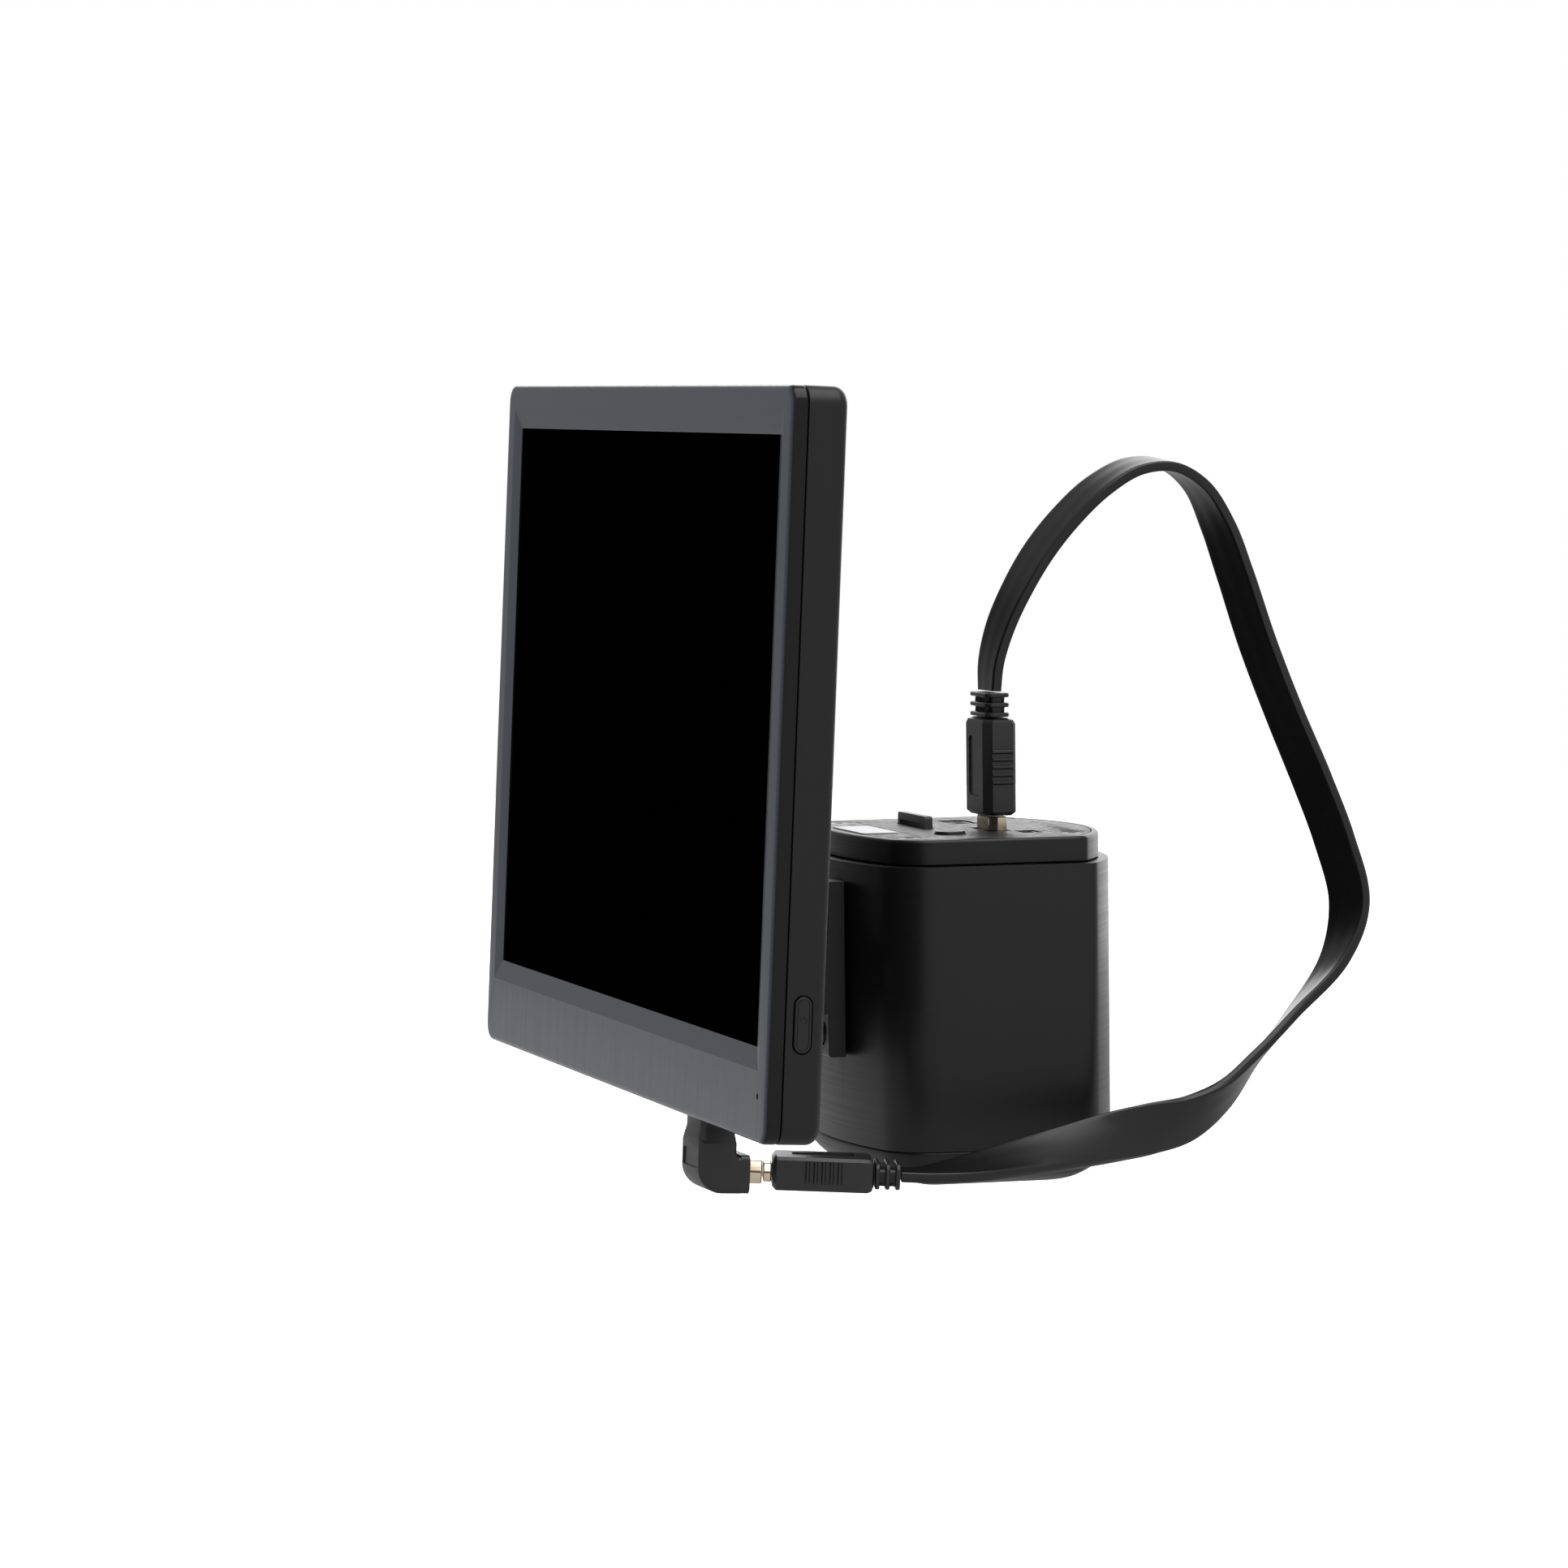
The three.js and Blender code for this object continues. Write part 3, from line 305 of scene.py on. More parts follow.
def bump(tree, bsdf, height, distance_mm, strength=1.0, under=None):
    node = add_node(tree, "Bump", Height=height, Distance=distance_mm * MM, Strength=strength)
    if under is not None:
        connect(tree, node, Normal=under)
    connect(tree, bsdf, Normal=node.outputs["Normal"])
    return node.outputs["Normal"]


def shades(color, below=0.85, above=1.12):
    return tuple(c * below for c in color), tuple(c * above for c in color)


def anodised_black():
    """Black anodised aluminium: fine horizontal brushing and a faint bead-blast grain."""
    color = (0.009, 0.009, 0.0088)
    material, tree, bsdf = shader("anodised_black", color, 0.36, 0.0, 0.38)
    lines = noise(tree, coordinates(tree, (4, 4, 700)), 3.0, 2.0)
    grain = noise(tree, coordinates(tree), 2600.0, 2.0)
    cloud = noise(tree, coordinates(tree), 22.0, 2.0)
    tint(tree, bsdf, cloud, *shades(color))
    connect(tree, bsdf, Roughness=spread(tree, lines, 0.34, 0.4))
    first = bump(tree, bsdf, lines, 0.002, 0.15)
    bump(tree, bsdf, grain, 0.006, 0.3, first)
    return material


def pebbled_black():
    """Fine pebbled finish of the port plate, which catches light at a low angle."""
    color = (0.014, 0.014, 0.016)
    material, tree, bsdf = shader("pebbled_black", color, 0.42, 0.0, 0.55)
    cells = add_node(tree, "TexVoronoi", Scale=1300.0, Vector=coordinates(tree))
    cloud = noise(tree, coordinates(tree), 500.0, 3.0)
    tint(tree, bsdf, cloud, *shades(color))
    first = bump(tree, bsdf, cells.outputs["Distance"], 0.1, 0.8)
    bump(tree, bsdf, cloud, 0.12, 0.7, first)
    connect(tree, bsdf, Roughness=spread(tree, cloud, 0.34, 0.54))
    return material


def moulded(name, color, roughness, grain_mm, scale=1900.0):
    """Moulded plastic with the fine grain of its mould."""
    material, tree, bsdf = shader(name, color, roughness)
    grain = noise(tree, coordinates(tree), scale, 3.0, 0.6)
    cloud = noise(tree, coordinates(tree), 25.0, 2.0)
    tint(tree, bsdf, cloud, *shades(color))
    connect(tree, bsdf, Roughness=spread(tree, grain, roughness - 0.05, roughness + 0.06))
    bump(tree, bsdf, grain, grain_mm, 0.5)
    return material


def streaked(name, color, roughness, specular=0.5):
    """Painted plastic whose gloss has faint upright streaks."""
    material, tree, bsdf = shader(name, color, roughness, 0.0, specular)
    streaks = noise(tree, coordinates(tree, (500, 500, 5)), 1.0, 3.0)
    grain = noise(tree, coordinates(tree), 2200.0, 2.0)
    tint(tree, bsdf, streaks, *shades(color, 0.92, 1.07))
    connect(tree, bsdf, Roughness=spread(tree, streaks, roughness - 0.04, roughness + 0.04))
    first = bump(tree, bsdf, streaks, 0.002, 0.15)
    bump(tree, bsdf, grain, 0.006, 0.4, first)
    return material


def metal(name, color, roughness):
    """Bare or plated metal with light drawing marks."""
    material, tree, bsdf = shader(name, color, roughness, 1.0)
    marks = noise(tree, coordinates(tree, (1, 1, 400)), 8.0, 2.0)
    connect(tree, bsdf, Roughness=spread(tree, marks, roughness * 0.7, roughness * 1.4))
    tint(tree, bsdf, marks, *shades(color, 0.9, 1.0))
    bump(tree, bsdf, marks, 0.01, 0.3)
    return material


def screen_black():
    """An unlit panel behind its matt polariser."""
    material, tree, bsdf = shader("screen_black", (0.0002, 0.0002, 0.00025), 0.35, 0.0, 0.0)
    mottle = noise(tree, coordinates(tree), 900.0, 2.0)
    tint(tree, bsdf, mottle, (0.0001, 0.0001, 0.00012), (0.0003, 0.0003, 0.0004))
    connect(tree, bsdf, Roughness=spread(tree, mottle, 0.3, 0.4))
    return material


def cable_black():
    """PVC jacket of the flat cable, with drawing lines along its length."""
    color = (0.006, 0.006, 0.0065)
    material, tree, bsdf = shader("cable_black", color, 0.3, 0.0, 0.5)
    lines = noise(tree, coordinates(tree, (5, 420, 1), "UV"), 3.0, 3.0)
    grain = noise(tree, coordinates(tree), 1500.0, 2.0)
    connect(tree, bsdf, Roughness=spread(tree, lines, 0.26, 0.34))
    tint(tree, bsdf, lines, *shades(color))
    first = bump(tree, bsdf, lines, 0.006, 0.25)
    bump(tree, bsdf, grain, 0.01, 0.3, first)
    return material


def board_green():
    """Solder mask with a hint of the traces under it."""
    material, tree, bsdf = shader("board_green", (0.010, 0.075, 0.03), 0.35)
    traces = add_node(
        tree, "TexBrick", Vector=coordinates(tree), Scale=160.0, Color1=(0.008, 0.06, 0.025, 1),
        Color2=(0.012, 0.085, 0.035, 1), Mortar=(0.02, 0.13, 0.05, 1),
    )
    connect(tree, bsdf, Base_Color=traces.outputs["Color"])
    bump(tree, bsdf, traces.outputs["Fac"], 0.03, 0.4)
    return material


def filter_glass():
    """The tinted filter over the sensor."""
    material, tree, bsdf = shader("filter_glass", (0.55, 0.8, 0.82), 0.03)
    haze = noise(tree, coordinates(tree), 60.0)
    connect(tree, bsdf, Transmission_Weight=0.8, Roughness=spread(tree, haze, 0.02, 0.05))
    return material


def slate_bezel():
    """Slate paint on the face of the bezel; its outer side is charcoal like the housing."""
    material = streaked("bezel_slate", (0.05, 0.062, 0.086), 0.2)
    tree = material.node_tree
    bsdf = tree.nodes["Principled BSDF"]
    slate = bsdf.inputs["Base Color"].links[0].from_socket
    normal = add_node(tree, "TexCoord").outputs["Normal"]
    towards_back = add_node(tree, "SeparateXYZ", Vector=normal).outputs["Y"]
    facing = spread(tree, towards_back, 0, 1, -0.6, -0.92)
    connect(tree, bsdf, Base_Color=blend_colors(tree, facing, (0.005, 0.005, 0.005), slate))
    connect(tree, bsdf, Specular_IOR_Level=spread(tree, facing, 0.3, 0.5, 0, 1))
    return material


LOOKS = {
    "anodised": anodised_black(),
    "pebbled": pebbled_black(),
    "rear": streaked("rear_charcoal", (0.008, 0.008, 0.0076), 0.4, 0.4),
    "bezel": slate_bezel(),
    "black": moulded("black_plastic", (0.008, 0.008, 0.008), 0.36, 0.012),
    "overmould": moulded("plug_overmould", (0.02, 0.02, 0.0205), 0.34, 0.03, 1300.0),
    "white": moulded("white_plastic", (0.78, 0.78, 0.77), 0.4, 0.01),
    "label": moulded("label_white", (0.85, 0.86, 0.88), 0.55, 0.01),
    "light_guide": moulded("light_guide", (0.7, 0.71, 0.71), 0.3, 0.01),
    "sensor": moulded("sensor_black", (0.012, 0.013, 0.016), 0.15, 0.005),
    "button": moulded("button_black", (0.008, 0.008, 0.008), 0.34, 0.006),
    "card": moulded("card_grey", (0.045, 0.045, 0.047), 0.35, 0.01),
    "mark_grey": moulded("mark_grey", (0.32, 0.32, 0.33), 0.5, 0.005),
    "smoked": moulded("smoked_lens", (0.02, 0.02, 0.021), 0.2, 0.004),
    "black_steel": metal("black_steel", (0.05, 0.05, 0.052), 0.38),
    "steel": metal("steel", (0.56, 0.57, 0.58), 0.28),
    "nickel": metal("nickel", (0.62, 0.61, 0.58), 0.2),
    "gold": metal("gold", (0.8, 0.67, 0.5), 0.16),
    "aluminium": metal("aluminium", (0.6, 0.61, 0.62), 0.4),
    "screen": screen_black(),
    "cable": cable_black(),
    "board": board_green(),
    "filter": filter_glass(),
}


# ------------------------------------------------------------------ flat cable and its plugs

# places of the cable's middle line, with the turn of its width in degrees about that line
RIBBON_ROUTE = [
    (8.0, 6.9, 123.8, 0),
    (8.0, 7.4, 131.0, -4),
    (8.4, 9.8, 140.0, -9),
    (9.4, 13.7, 149.0, -12),
    (10.9, 19.3, 158.9, -14),
    (12.6, 26.6, 168.2, -14),
    (14.0, 34.8, 175.8, -13),
    (14.5, 44.0, 180.6, -9),
    (14.4, 53.4, 180.6, -3),
    (14.6, 60.9, 175.3, 6),
    (16.4, 66.0, 165.0, 17),
    (20.2, 69.3, 152.5, 21),
    (25.4, 73.4, 135.0, 23),
    (31.0, 78.6, 117.0, 24),
    (35.9, 83.8, 101.0, 27),
    (39.4, 88.8, 85.0, 28),
    (41.8, 91.8, 69.4, 26),
    (43.9, 87.1, 55.4, 6),
    (47.2, 73.8, 41.2, -14),
    (51.2, 62.7, 31.2, -23),
    (53.9, 53.4, 22.6, -41),
    (56.0, 43.3, 17.4, -66),
    (59.2, 32.1, 15.6, -92),
    (63.0, 21.4, 14.4, -115),
    (67.8, 8.8, 12.9, -135),
    (73.4, -7.0, 11.2, -152),
    (78.0, -21.4, 9.7, -166),
    (79.2, -32.6, 8.9, -178),
    (77.8, -39.0, 9.05, -180),
]
RIBBON_WIDTH = 13.0
RIBBON_THICK = 2.6
RIBBON_STEPS = 260


def smooth_route(route, per_span=40):
    """Centripetal Catmull-Rom through the route's points, as (place, turn) samples."""
    places = [Vector(p[:3]) for p in route]
    turns = [p[3] for p in route]
    places = [places[0] * 2 - places[1], *places, places[-1] * 2 - places[-2]]
    turns = [turns[0] * 2 - turns[1], *turns, turns[-1] * 2 - turns[-2]]
    values = [Vector((*p, t)) for p, t in zip(places, turns)]
    samples = []
    for i in range(1, len(values) - 2):
        knots = [0.0]
        for k in range(3):
            gap = (places[i + k] - places[i + k - 1]).length
            knots.append(knots[-1] + math.sqrt(gap))
        a, b, c, d = (values[i + k] for k in (-1, 0, 1, 2))
        t0, t1, t2, t3 = knots
        for step in range(per_span):
            t = t1 + (t2 - t1) * step / per_span
            ab = a.lerp(b, (t - t0) / (t1 - t0))
            bc = b.lerp(c, (t - t1) / (t2 - t1))
            cd = c.lerp(d, (t - t2) / (t3 - t2))
            abc = ab.lerp(bc, (t - t0) / (t2 - t0))
            bcd = bc.lerp(cd, (t - t1) / (t3 - t1))
            samples.append(abc.lerp(bcd, (t - t1) / (t2 - t1)))
    samples.append(values[-2])
    return samples


def even_samples(samples, steps):
    """Samples at equal distances along the route."""
    reach = [0.0]
    for a, b in zip(samples, samples[1:]):
        reach.append(reach[-1] + (b.xyz - a.xyz).length)
    picked = []
    k = 0
    for step in range(steps + 1):
        goal = reach[-1] * step / steps
        while k < len(samples) - 2 and reach[k + 1] < goal:
            k += 1
        picked.append(samples[k].lerp(samples[k + 1], (goal - reach[k]) / (reach[k + 1] - reach[k])))
    return picked


def ribbon_section():
    """Points round the cable's section: shallow valleys between the cores and two on each edge."""
    half_w = RIBBON_WIDTH / 2
    half_t = RIBBON_THICK / 2
    corner = 0.8
    face = []
    count = 16
    for i in range(count + 1):
        x = (half_w - corner) * (1 - 2 * i / count)
        face.append((x, half_t - 0.02 * (1 - math.cos(4 * math.pi * i / count))))
    edge = []
    for i in range(1, 12):
        t = i / 12
        cosine = math.cos(math.pi * t)
        valley = sum(0.09 * math.exp(-((t - spot) / 0.05) ** 2) for spot in (0.36, 0.64))
        reach = corner * math.sin(math.pi * t) ** 0.75 - valley
        edge.append((corner - half_w - reach, half_t * cosine * (0.92 + 0.08 * abs(cosine))))
    half = face + edge
    return half + [(-x, -y) for x, y in half]


def make_ribbon():
    picked = even_samples(smooth_route(RIBBON_ROUTE), RIBBON_STEPS)
    section = ribbon_section()
    rings = []
    for i, sample in enumerate(picked):
        before = picked[max(i - 1, 0)]
        after = picked[min(i + 1, RIBBON_STEPS)]
        tangent = (after.xyz - before.xyz).normalized()
        level = (Vector((1, 0, 0)) - tangent * tangent.x).normalized()
        across = Matrix.Rotation(math.radians(-sample[3]), 3, tangent) @ level
        upward = tangent.cross(across)
        rings.append([tuple(sample.xyz + across * a + upward * b) for a, b in section])
    ribbon = skin("ribbon_cable_skin", rings)
    # u runs along the cable and v round it, for the lines in its jacket
    along = ribbon.data.uv_layers.new(name="along")
    loops = ribbon.data.loops
    count = len(section)
    for polygon in ribbon.data.polygons:
        wraps = {loops[i].vertex_index % count for i in polygon.loop_indices} == {0, count - 1}
        for i in polygon.loop_indices:
            k, j = divmod(loops[i].vertex_index, count)
            along.data[i].uv = (k / RIBBON_STEPS, 1.0 if wraps and j == 0 else j / count)
    ribbon.data.transform(Matrix.Scale(MM, 4))
    ribbon.data.shade_smooth()
    ribbon.data.set_sharp_from_angle(angle=math.radians(50))
    ribbon.data.materials.append(LOOKS["cable"])
    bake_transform(ribbon)
    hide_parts("ribbon_cable")
    return ribbon


PLUG_HALF = (9.0, 4.2)
PLUG_MIDDLE = 12.4
HDMI_SPOT = (8, 6.9)  # the upper plug's axis, on the port plate
MONITOR_PORT = (68, 5.3)  # the adapter's axis, in the display's space


def plug_ring(inset, z):
    """Outline of a plug body: two large chamfers on the -Y side, small ones on the +Y side."""
    w = PLUG_HALF[0] - inset
    t = PLUG_HALF[1] - inset
    right = [(w - 2.1, -t), (w, 2.1 - t), (w, t - 0.8), (w - 0.8, t)]
    left = [(-x, y) for x, y in reversed(right)]
    return layer(right + left, z)


def make_plug_body(name, node, space, ride_on):
    half_x, half_y = PLUG_HALF
    steps = ((0.9, 0), (0, 0.9), (0, 23.3), (0.45, 24.35), (1.5, 24.8))
    body = skin(name, [plug_ring(inset, z) for inset, z in steps])
    tools = []
    for side in (-1, 1):
        # a long shallow field on the wide face and a pocket for the grip ridges on the narrow one
        field = rounded(4.7, 7.6, 1.0, 6, (0, PLUG_MIDDLE))
        tools.append(prism("field", field, side * (half_y - 0.4), side * (half_y + 1), "y"))
        pocket = rounded(2.75, 4.75, 0.4, 4, (0.55, PLUG_MIDDLE))
        tools.append(prism("pocket", pocket, side * (half_x - 0.15), side * (half_x + 1), "x"))
    combine(body, tools)
    ridges = []
    for side in (-1, 1):
        for i in range(5):
            z = PLUG_MIDDLE + (i - 2) * 1.95
            foot, top = side * (half_x - 1.0), side * (half_x + 0.3)
            shoulder = side * (half_x - 0.16)
            profile = [(foot, z - 0.6), (shoulder, z - 0.6), (top, z - 0.22)]
            profile += [(top, z + 0.22), (shoulder, z + 0.6), (foot, z + 0.6)]
            ridges.append(skin("ridge", [layer(profile, -2.1, "y"), layer(profile, 3.2, "y")]))
    combine(body, ridges, "UNION")
    return place(body, "overmould", "plug_overmould", ride_on, [node], space, 0.16, 2)


def make_relief(name, node, space, ride_on):
    """Strain relief: three thin rings on a slim core, with small webs between them."""
    wide = rounded(8.0, 3.25, 2.2, 6)
    rim = rounded(7.8, 3.05, 2.2, 6)
    slim = rounded(5.75, 1.7, 1.2, 6)
    rings = []
    for start, stop in ((0.0, 1.1), (2.5, 3.6), (5.0, 6.1)):
        if rings:
            rings.append(layer(slim, start - 0.05))
        rings += [layer(rim, start), layer(wide, start + 0.2), layer(wide, stop - 0.2), layer(rim, stop)]
        if stop < 6:
            rings.append(layer(slim, stop + 0.05))
    body = skin(name, rings)
    webs = []
    for i in range(-3, 4):
        for low, high in ((0.9, 2.7), (3.4, 5.2)):
            bottom = rounded(0.28, 2.5, 0.2, 2, (i * 1.45, 0))
            top = rounded(0.28, 2.5, 0.2, 2, (i * 1.45 + 0.4, 0))
            webs.append(skin("web", [layer(bottom, low), layer(top, high)]))
    combine(body, webs, "UNION")
    return place(body, "overmould", "plug_overmould", ride_on, [node], space, 0.08, 2)


def shell_outline(grow=0.0):
    """A plug's metal shell: a flat D with two slanted corners, each corner rounded."""
    w = 6.95 + grow
    t = 2.225 + grow
    corners = [(-w, t), (-w, -t * 0.1), (-w + 2.2, -t), (w - 2.2, -t), (w, -t * 0.1), (w, t)]
    points = []
    for i, corner in enumerate(corners):
        here = Vector(corner)
        before = (Vector(corners[i - 1]) - here).normalized()
        after = (Vector(corners[(i + 1) % 6]) - here).normalized()
        for k in range(5):
            blend = k / 4
            leg = before * (1 - blend) ** 2 + after * blend ** 2
            points.append(tuple(here + leg * 0.5))
    return points


def make_shell(name, node, z0, z1, grow, space, ride_on):
    """Plated shell, drawn from sheet, with a rolled edge at its free end."""
    rings = []
    for inset, z in ((0.25, z0), (0.0, z0 + 0.25), (0.0, z1 - 0.25), (0.2, z1)):
        rings.append(layer(shell_outline(grow - inset), z))
    body = skin(name, rings)
    return place(body, "gold", "gold", ride_on, [node], space, 0.05, 2)


def make_plugs():
    upper = Matrix.Translation((*HDMI_SPOT, 0))
    upper_body = upper @ Matrix.Translation((0, 0, 92.2))
    upper_relief = upper @ Matrix.Translation((0, 0, 117.3))
    lower_lay = DISPLAY_SPACE @ LOWER_PLUG_LAY @ ALONG_Y
    lower_body = lower_lay @ Matrix.Translation((0, 0, 7.6)) @ Matrix.Rotation(math.pi, 4, "Z")
    lower_relief = lower_lay @ Matrix.Translation((0, 0, 32.7))
    pieces = [
        make_plug_body("upper_plug_cover", "upper_plug_body", upper_body, "camera"),
        make_relief("upper_relief_rings", "upper_strain_relief", upper_relief, "camera"),
        make_shell("upper_plug_sleeve", "upper_plug_shell", 79, 91.9, 0, upper, "camera"),
        make_plug_body("lower_plug_cover", "lower_plug_body", lower_body, "monitor"),
        make_relief("lower_relief_rings", "lower_strain_relief", lower_relief, "monitor"),
        make_shell("lower_plug_sleeve", "lower_plug_shell", 5.3, 7.3, 0, lower_lay, "monitor"),
    ]
    make_shell("adapter_collar_sleeve", "adapter_collar", -2.3, 5, 0.5, lower_lay, "monitor")
    port = DISPLAY_SPACE @ Matrix.Translation((*MONITOR_PORT, 0))
    make_shell("adapter_plug_sleeve", "adapter_plug_shell", -94.5, -85, 0, port, "monitor")
    return pieces


def adapter_outline(front, back, low, high, elbow, notch):
    """Side view of the adapter, in y and z: an upright leg with a short lying one behind its foot."""
    points = arc_points((front + elbow, low + elbow), elbow, 180, 270, 16)
    points += [(14.1 - notch, low), (14.1 - notch, -103.9)]
    points += [(back + 0.7, -103.9), (back, -103.2), (back, high), (front, high)]
    return points


def make_adapter():
    mid, half = MONITOR_PORT[0], 8.5
    outline = adapter_outline(1.1, 10.7, -112.8, -99.4, 6.2, 1.0)
    body = prism("adapter_cover", outline, mid - half, mid + half, "x")
    # round the long edges first, then add the neck and the collar with edges of their own
    bevel = body.modifiers.new("edges", "BEVEL")
    bevel.width = 2.1
    bevel.segments = 6
    bevel.limit_method = "ANGLE"
    bevel.angle_limit = math.radians(60)
    wide, slim = (rounded(*size, 6, (mid, 5.9)) for size in ((8.45, 4.77, 2.0), (7.5, 4.25, 1.5)))
    neck = skin("neck", [layer(wide, -103), layer(wide, -99.6), layer(slim, -97.2), layer(slim, -94.8)])
    collar = prism("collar", rounded(8.45, 4.7, 1.6, 6, (mid, -108.1)), 11.9, 14.1, "y")
    combine(body, [neck, collar], "UNION")
    field = prism("field", rounded(6.4, 2.15, 0.5, 5, (mid, -104.6)), 0, 1.45, "y")
    pocket = moved(prism("pocket", shell_outline(0.8), -2.6, 8), LOWER_PLUG_LAY @ ALONG_Y)
    combine(body, [field, pocket])
    place(body, "overmould", "plug_overmould", "monitor", ["adapter_body"], DISPLAY_SPACE, 0.18, 2)


def make_cable():
    ribbon = make_ribbon()
    plugs = make_plugs()


# ------------------------------------------------------------------ camera head

HEAD_HALF_X = 44.7
HEAD_FRONT = (34.2, 150.0, 14.0)  # reach, radius of the bulge and of the corners, on the monitor's side
HEAD_REAR = (37.15, 75.0, 7.0)
SCREW_PLACES = [(-31.5, -22), (31.5, -22), (28.5, 22), (-28.5, 22)]
ARM_SCREWS = [(-10, 38), (10, 38), (-10, 71), (10, 71)]
PLATE_TOP = 88.3
BUTTON_SPOT = (21, -8)
CARD_SPOT = (-12.3, -7.1)


def head_side(side, inset, corner_steps=10, side_steps=28):
    """Half of the head's outline round one side, from +X to -X."""
    reach, bulge, corner = side
    radius = max(corner - inset, 3)
    bulge_r = bulge - inset
    centre_y = reach - bulge
    corner_x = HEAD_HALF_X - inset - radius
    corner_y = centre_y + math.sqrt((bulge_r - radius) ** 2 - corner_x ** 2)
    turn = math.atan2(corner_y - centre_y, corner_x)
    points = []
    for i in range(corner_steps + 1):
        angle = turn * i / corner_steps
        points.append((corner_x + radius * math.cos(angle), corner_y + radius * math.sin(angle)))
    mirrored = [(-x, y) for x, y in reversed(points)]
    for i in range(1, side_steps):
        angle = turn + (math.pi - 2 * turn) * i / side_steps
        points.append((bulge_r * math.cos(angle), centre_y + bulge_r * math.sin(angle)))
    return points + mirrored


def head_outline(inset):
    front = [(-x, -y) for x, y in head_side(HEAD_FRONT, inset)]
    return head_side(HEAD_REAR, inset) + front


def head_skin(name, steps, loop=False):
    """A body whose rings follow the head's outline; the steps are (inset, height)."""
    return skin(name, [layer(head_outline(inset), z) for inset, z in steps], loop)


def screw_sinks(profile, segments):
    """Tools that cut a stepped hole at each corner screw of the head."""
    return [shifted(lathe("sink", profile, False, segments), *spot) for spot in SCREW_PLACES]


def rod(name, radius, t0, t1, centre=(0, 0), axis="z", segments=28):
    """A plain round tool for cutting, with its centre given across the axis."""
    body = lathe(name, [(radius, t0), (radius, t1)], False, segments, axis)
    shift = {"x": (0, *centre), "y": (centre[0], 0, centre[1]), "z": (*centre, 0)}[axis]
    return moved(body, Matrix.Translation(shift))


def make_camera_shell():
    outside = [(0.28, 10.0), (0.08, 10.08), (0, 10.28), (0, 81.25), (0.1, 81.5), (0.35, 81.6)]
    inside = [(2.8, 81.6), (3, 81.4), (3, 10.2), (2.8, 10.0)]
    shell = head_skin("camera_tube", outside + inside, True)
    columns = [rod("column", 5.95, 10.05, 81.55, p) for p in SCREW_PLACES]
    combine(shell, columns, "UNION")
    tools = [rod("bore", 1.6, 9, 83, p) for p in SCREW_PLACES]
    tools += [rod("hole", 1.8, -36, -28, p, "y") for p in ARM_SCREWS]
    combine(shell, tools)
    place(shell, "anodised", "anodised_black", "camera", ["camera_shell"], HEAD_SPACE, 0)


def make_base_cap():
    steps = []
    for i in range(21):
        angle = i / 20 * math.pi / 2
        steps.append((18 * (1 - math.sin(angle)), 9.42 * (1 - math.cos(angle))))
    steps += [(0.06, 9.78), (0.22, 9.9)]
    cap = head_skin("base_bowl", steps)
    combine(cap, [head_skin("hollow", [(12, 3), (5, 8.7), (5, 11)])])
    combine(cap, [rod("boss", 5.5, 2, 9.65, p) for p in SCREW_PLACES], "UNION")
    combine(cap, [head_skin("trim", [*steps, (0.22, 12)])], "INTERSECT")
    tools = screw_sinks([(4.4, -1), (3.4, 0.6), (3.4, 6.7), (1.9, 6.7), (1.9, 12)], 32)
    tools.append(rod("opening", 17.3, -1, 12, segments=72))
    combine(cap, tools)
    place(cap, "anodised", "anodised_black", "camera", ["base_cap"], HEAD_SPACE, 0.12, 2, 50)


def make_top_cap():
    steps = [(2.75, 81.9), (2.5, 82.15), (2.5, 87.3)]
    for i in range(1, 9):
        angle = math.radians(11.25 * i)
        steps.append((3.5 - math.cos(angle), 87.3 + math.sin(angle)))
    steps += [(4.05, 88.3), (4.2, 88.15), (4.2, 86.5), (10.3, 86.5), (10.3, 81.9)]
    cap = head_skin("top_rim", steps, True)
    combine(cap, [rod("bore", 1.7, 80, 90, p) for p in SCREW_PLACES])
    place(cap, "anodised", "anodised_black", "camera", ["top_cap"], HEAD_SPACE, 0)


def groove(path, width=0.35, depth=0.22):
    """Tools that cut a fine line along a path on the port plate."""
    bars = []
    for (x0, y0), (x1, y1) in zip(path, path[1:]):
        length = math.hypot(x1 - x0, y1 - y0)
        bar = prism("groove", rounded(length / 2 + width / 2, width / 2, width / 2.1, 3), -depth, 1)
        turn = Matrix.Rotation(math.atan2(y1 - y0, x1 - x0), 4, "Z")
        bars.append(moved(bar, Matrix.Translation(((x0 + x1) / 2, (y0 + y1) / 2, PLATE_TOP)) @ turn))
    return bars


def make_port_plate():
    steps = [(4.6, 86.8), (4.5, 86.9), (4.5, 88.1), (4.56, 88.24), (4.7, 88.3)]
    plate = head_skin("pebbled_plate", steps)
    tools = [
        prism("hdmi", rounded(8.1, 3.4, 0.6, 4, HDMI_SPOT), 85, 90),
        prism("usb", rounded(7.3, 3.6, 0.5, 4, (-21.5, 7.2)), 85, 90),
        prism("mini_usb", rounded(4.5, 2.7, 0.5, 4, (20.6, 13)), 85, 90),
        prism("card", rounded(12.6, 1.65, 0.5, 4, CARD_SPOT), 85, 90),
        rod("button", 4.3, 85, 90, BUTTON_SPOT, segments=48),
    ]
    tools += screw_sinks([(1.7, 80), (1.7, 86.9), (3.3, 88.3), (3.3, 90)], 40)
    tools += groove([(-30, -17.5), (26, -17.5)])
    tools += groove([(37, 2), (28.6, 19)])
    combine(plate, tools)
    place(plate, "pebbled", "port_plate_black", "camera", ["port_plate"], HEAD_SPACE, 0.12, 2, 50)


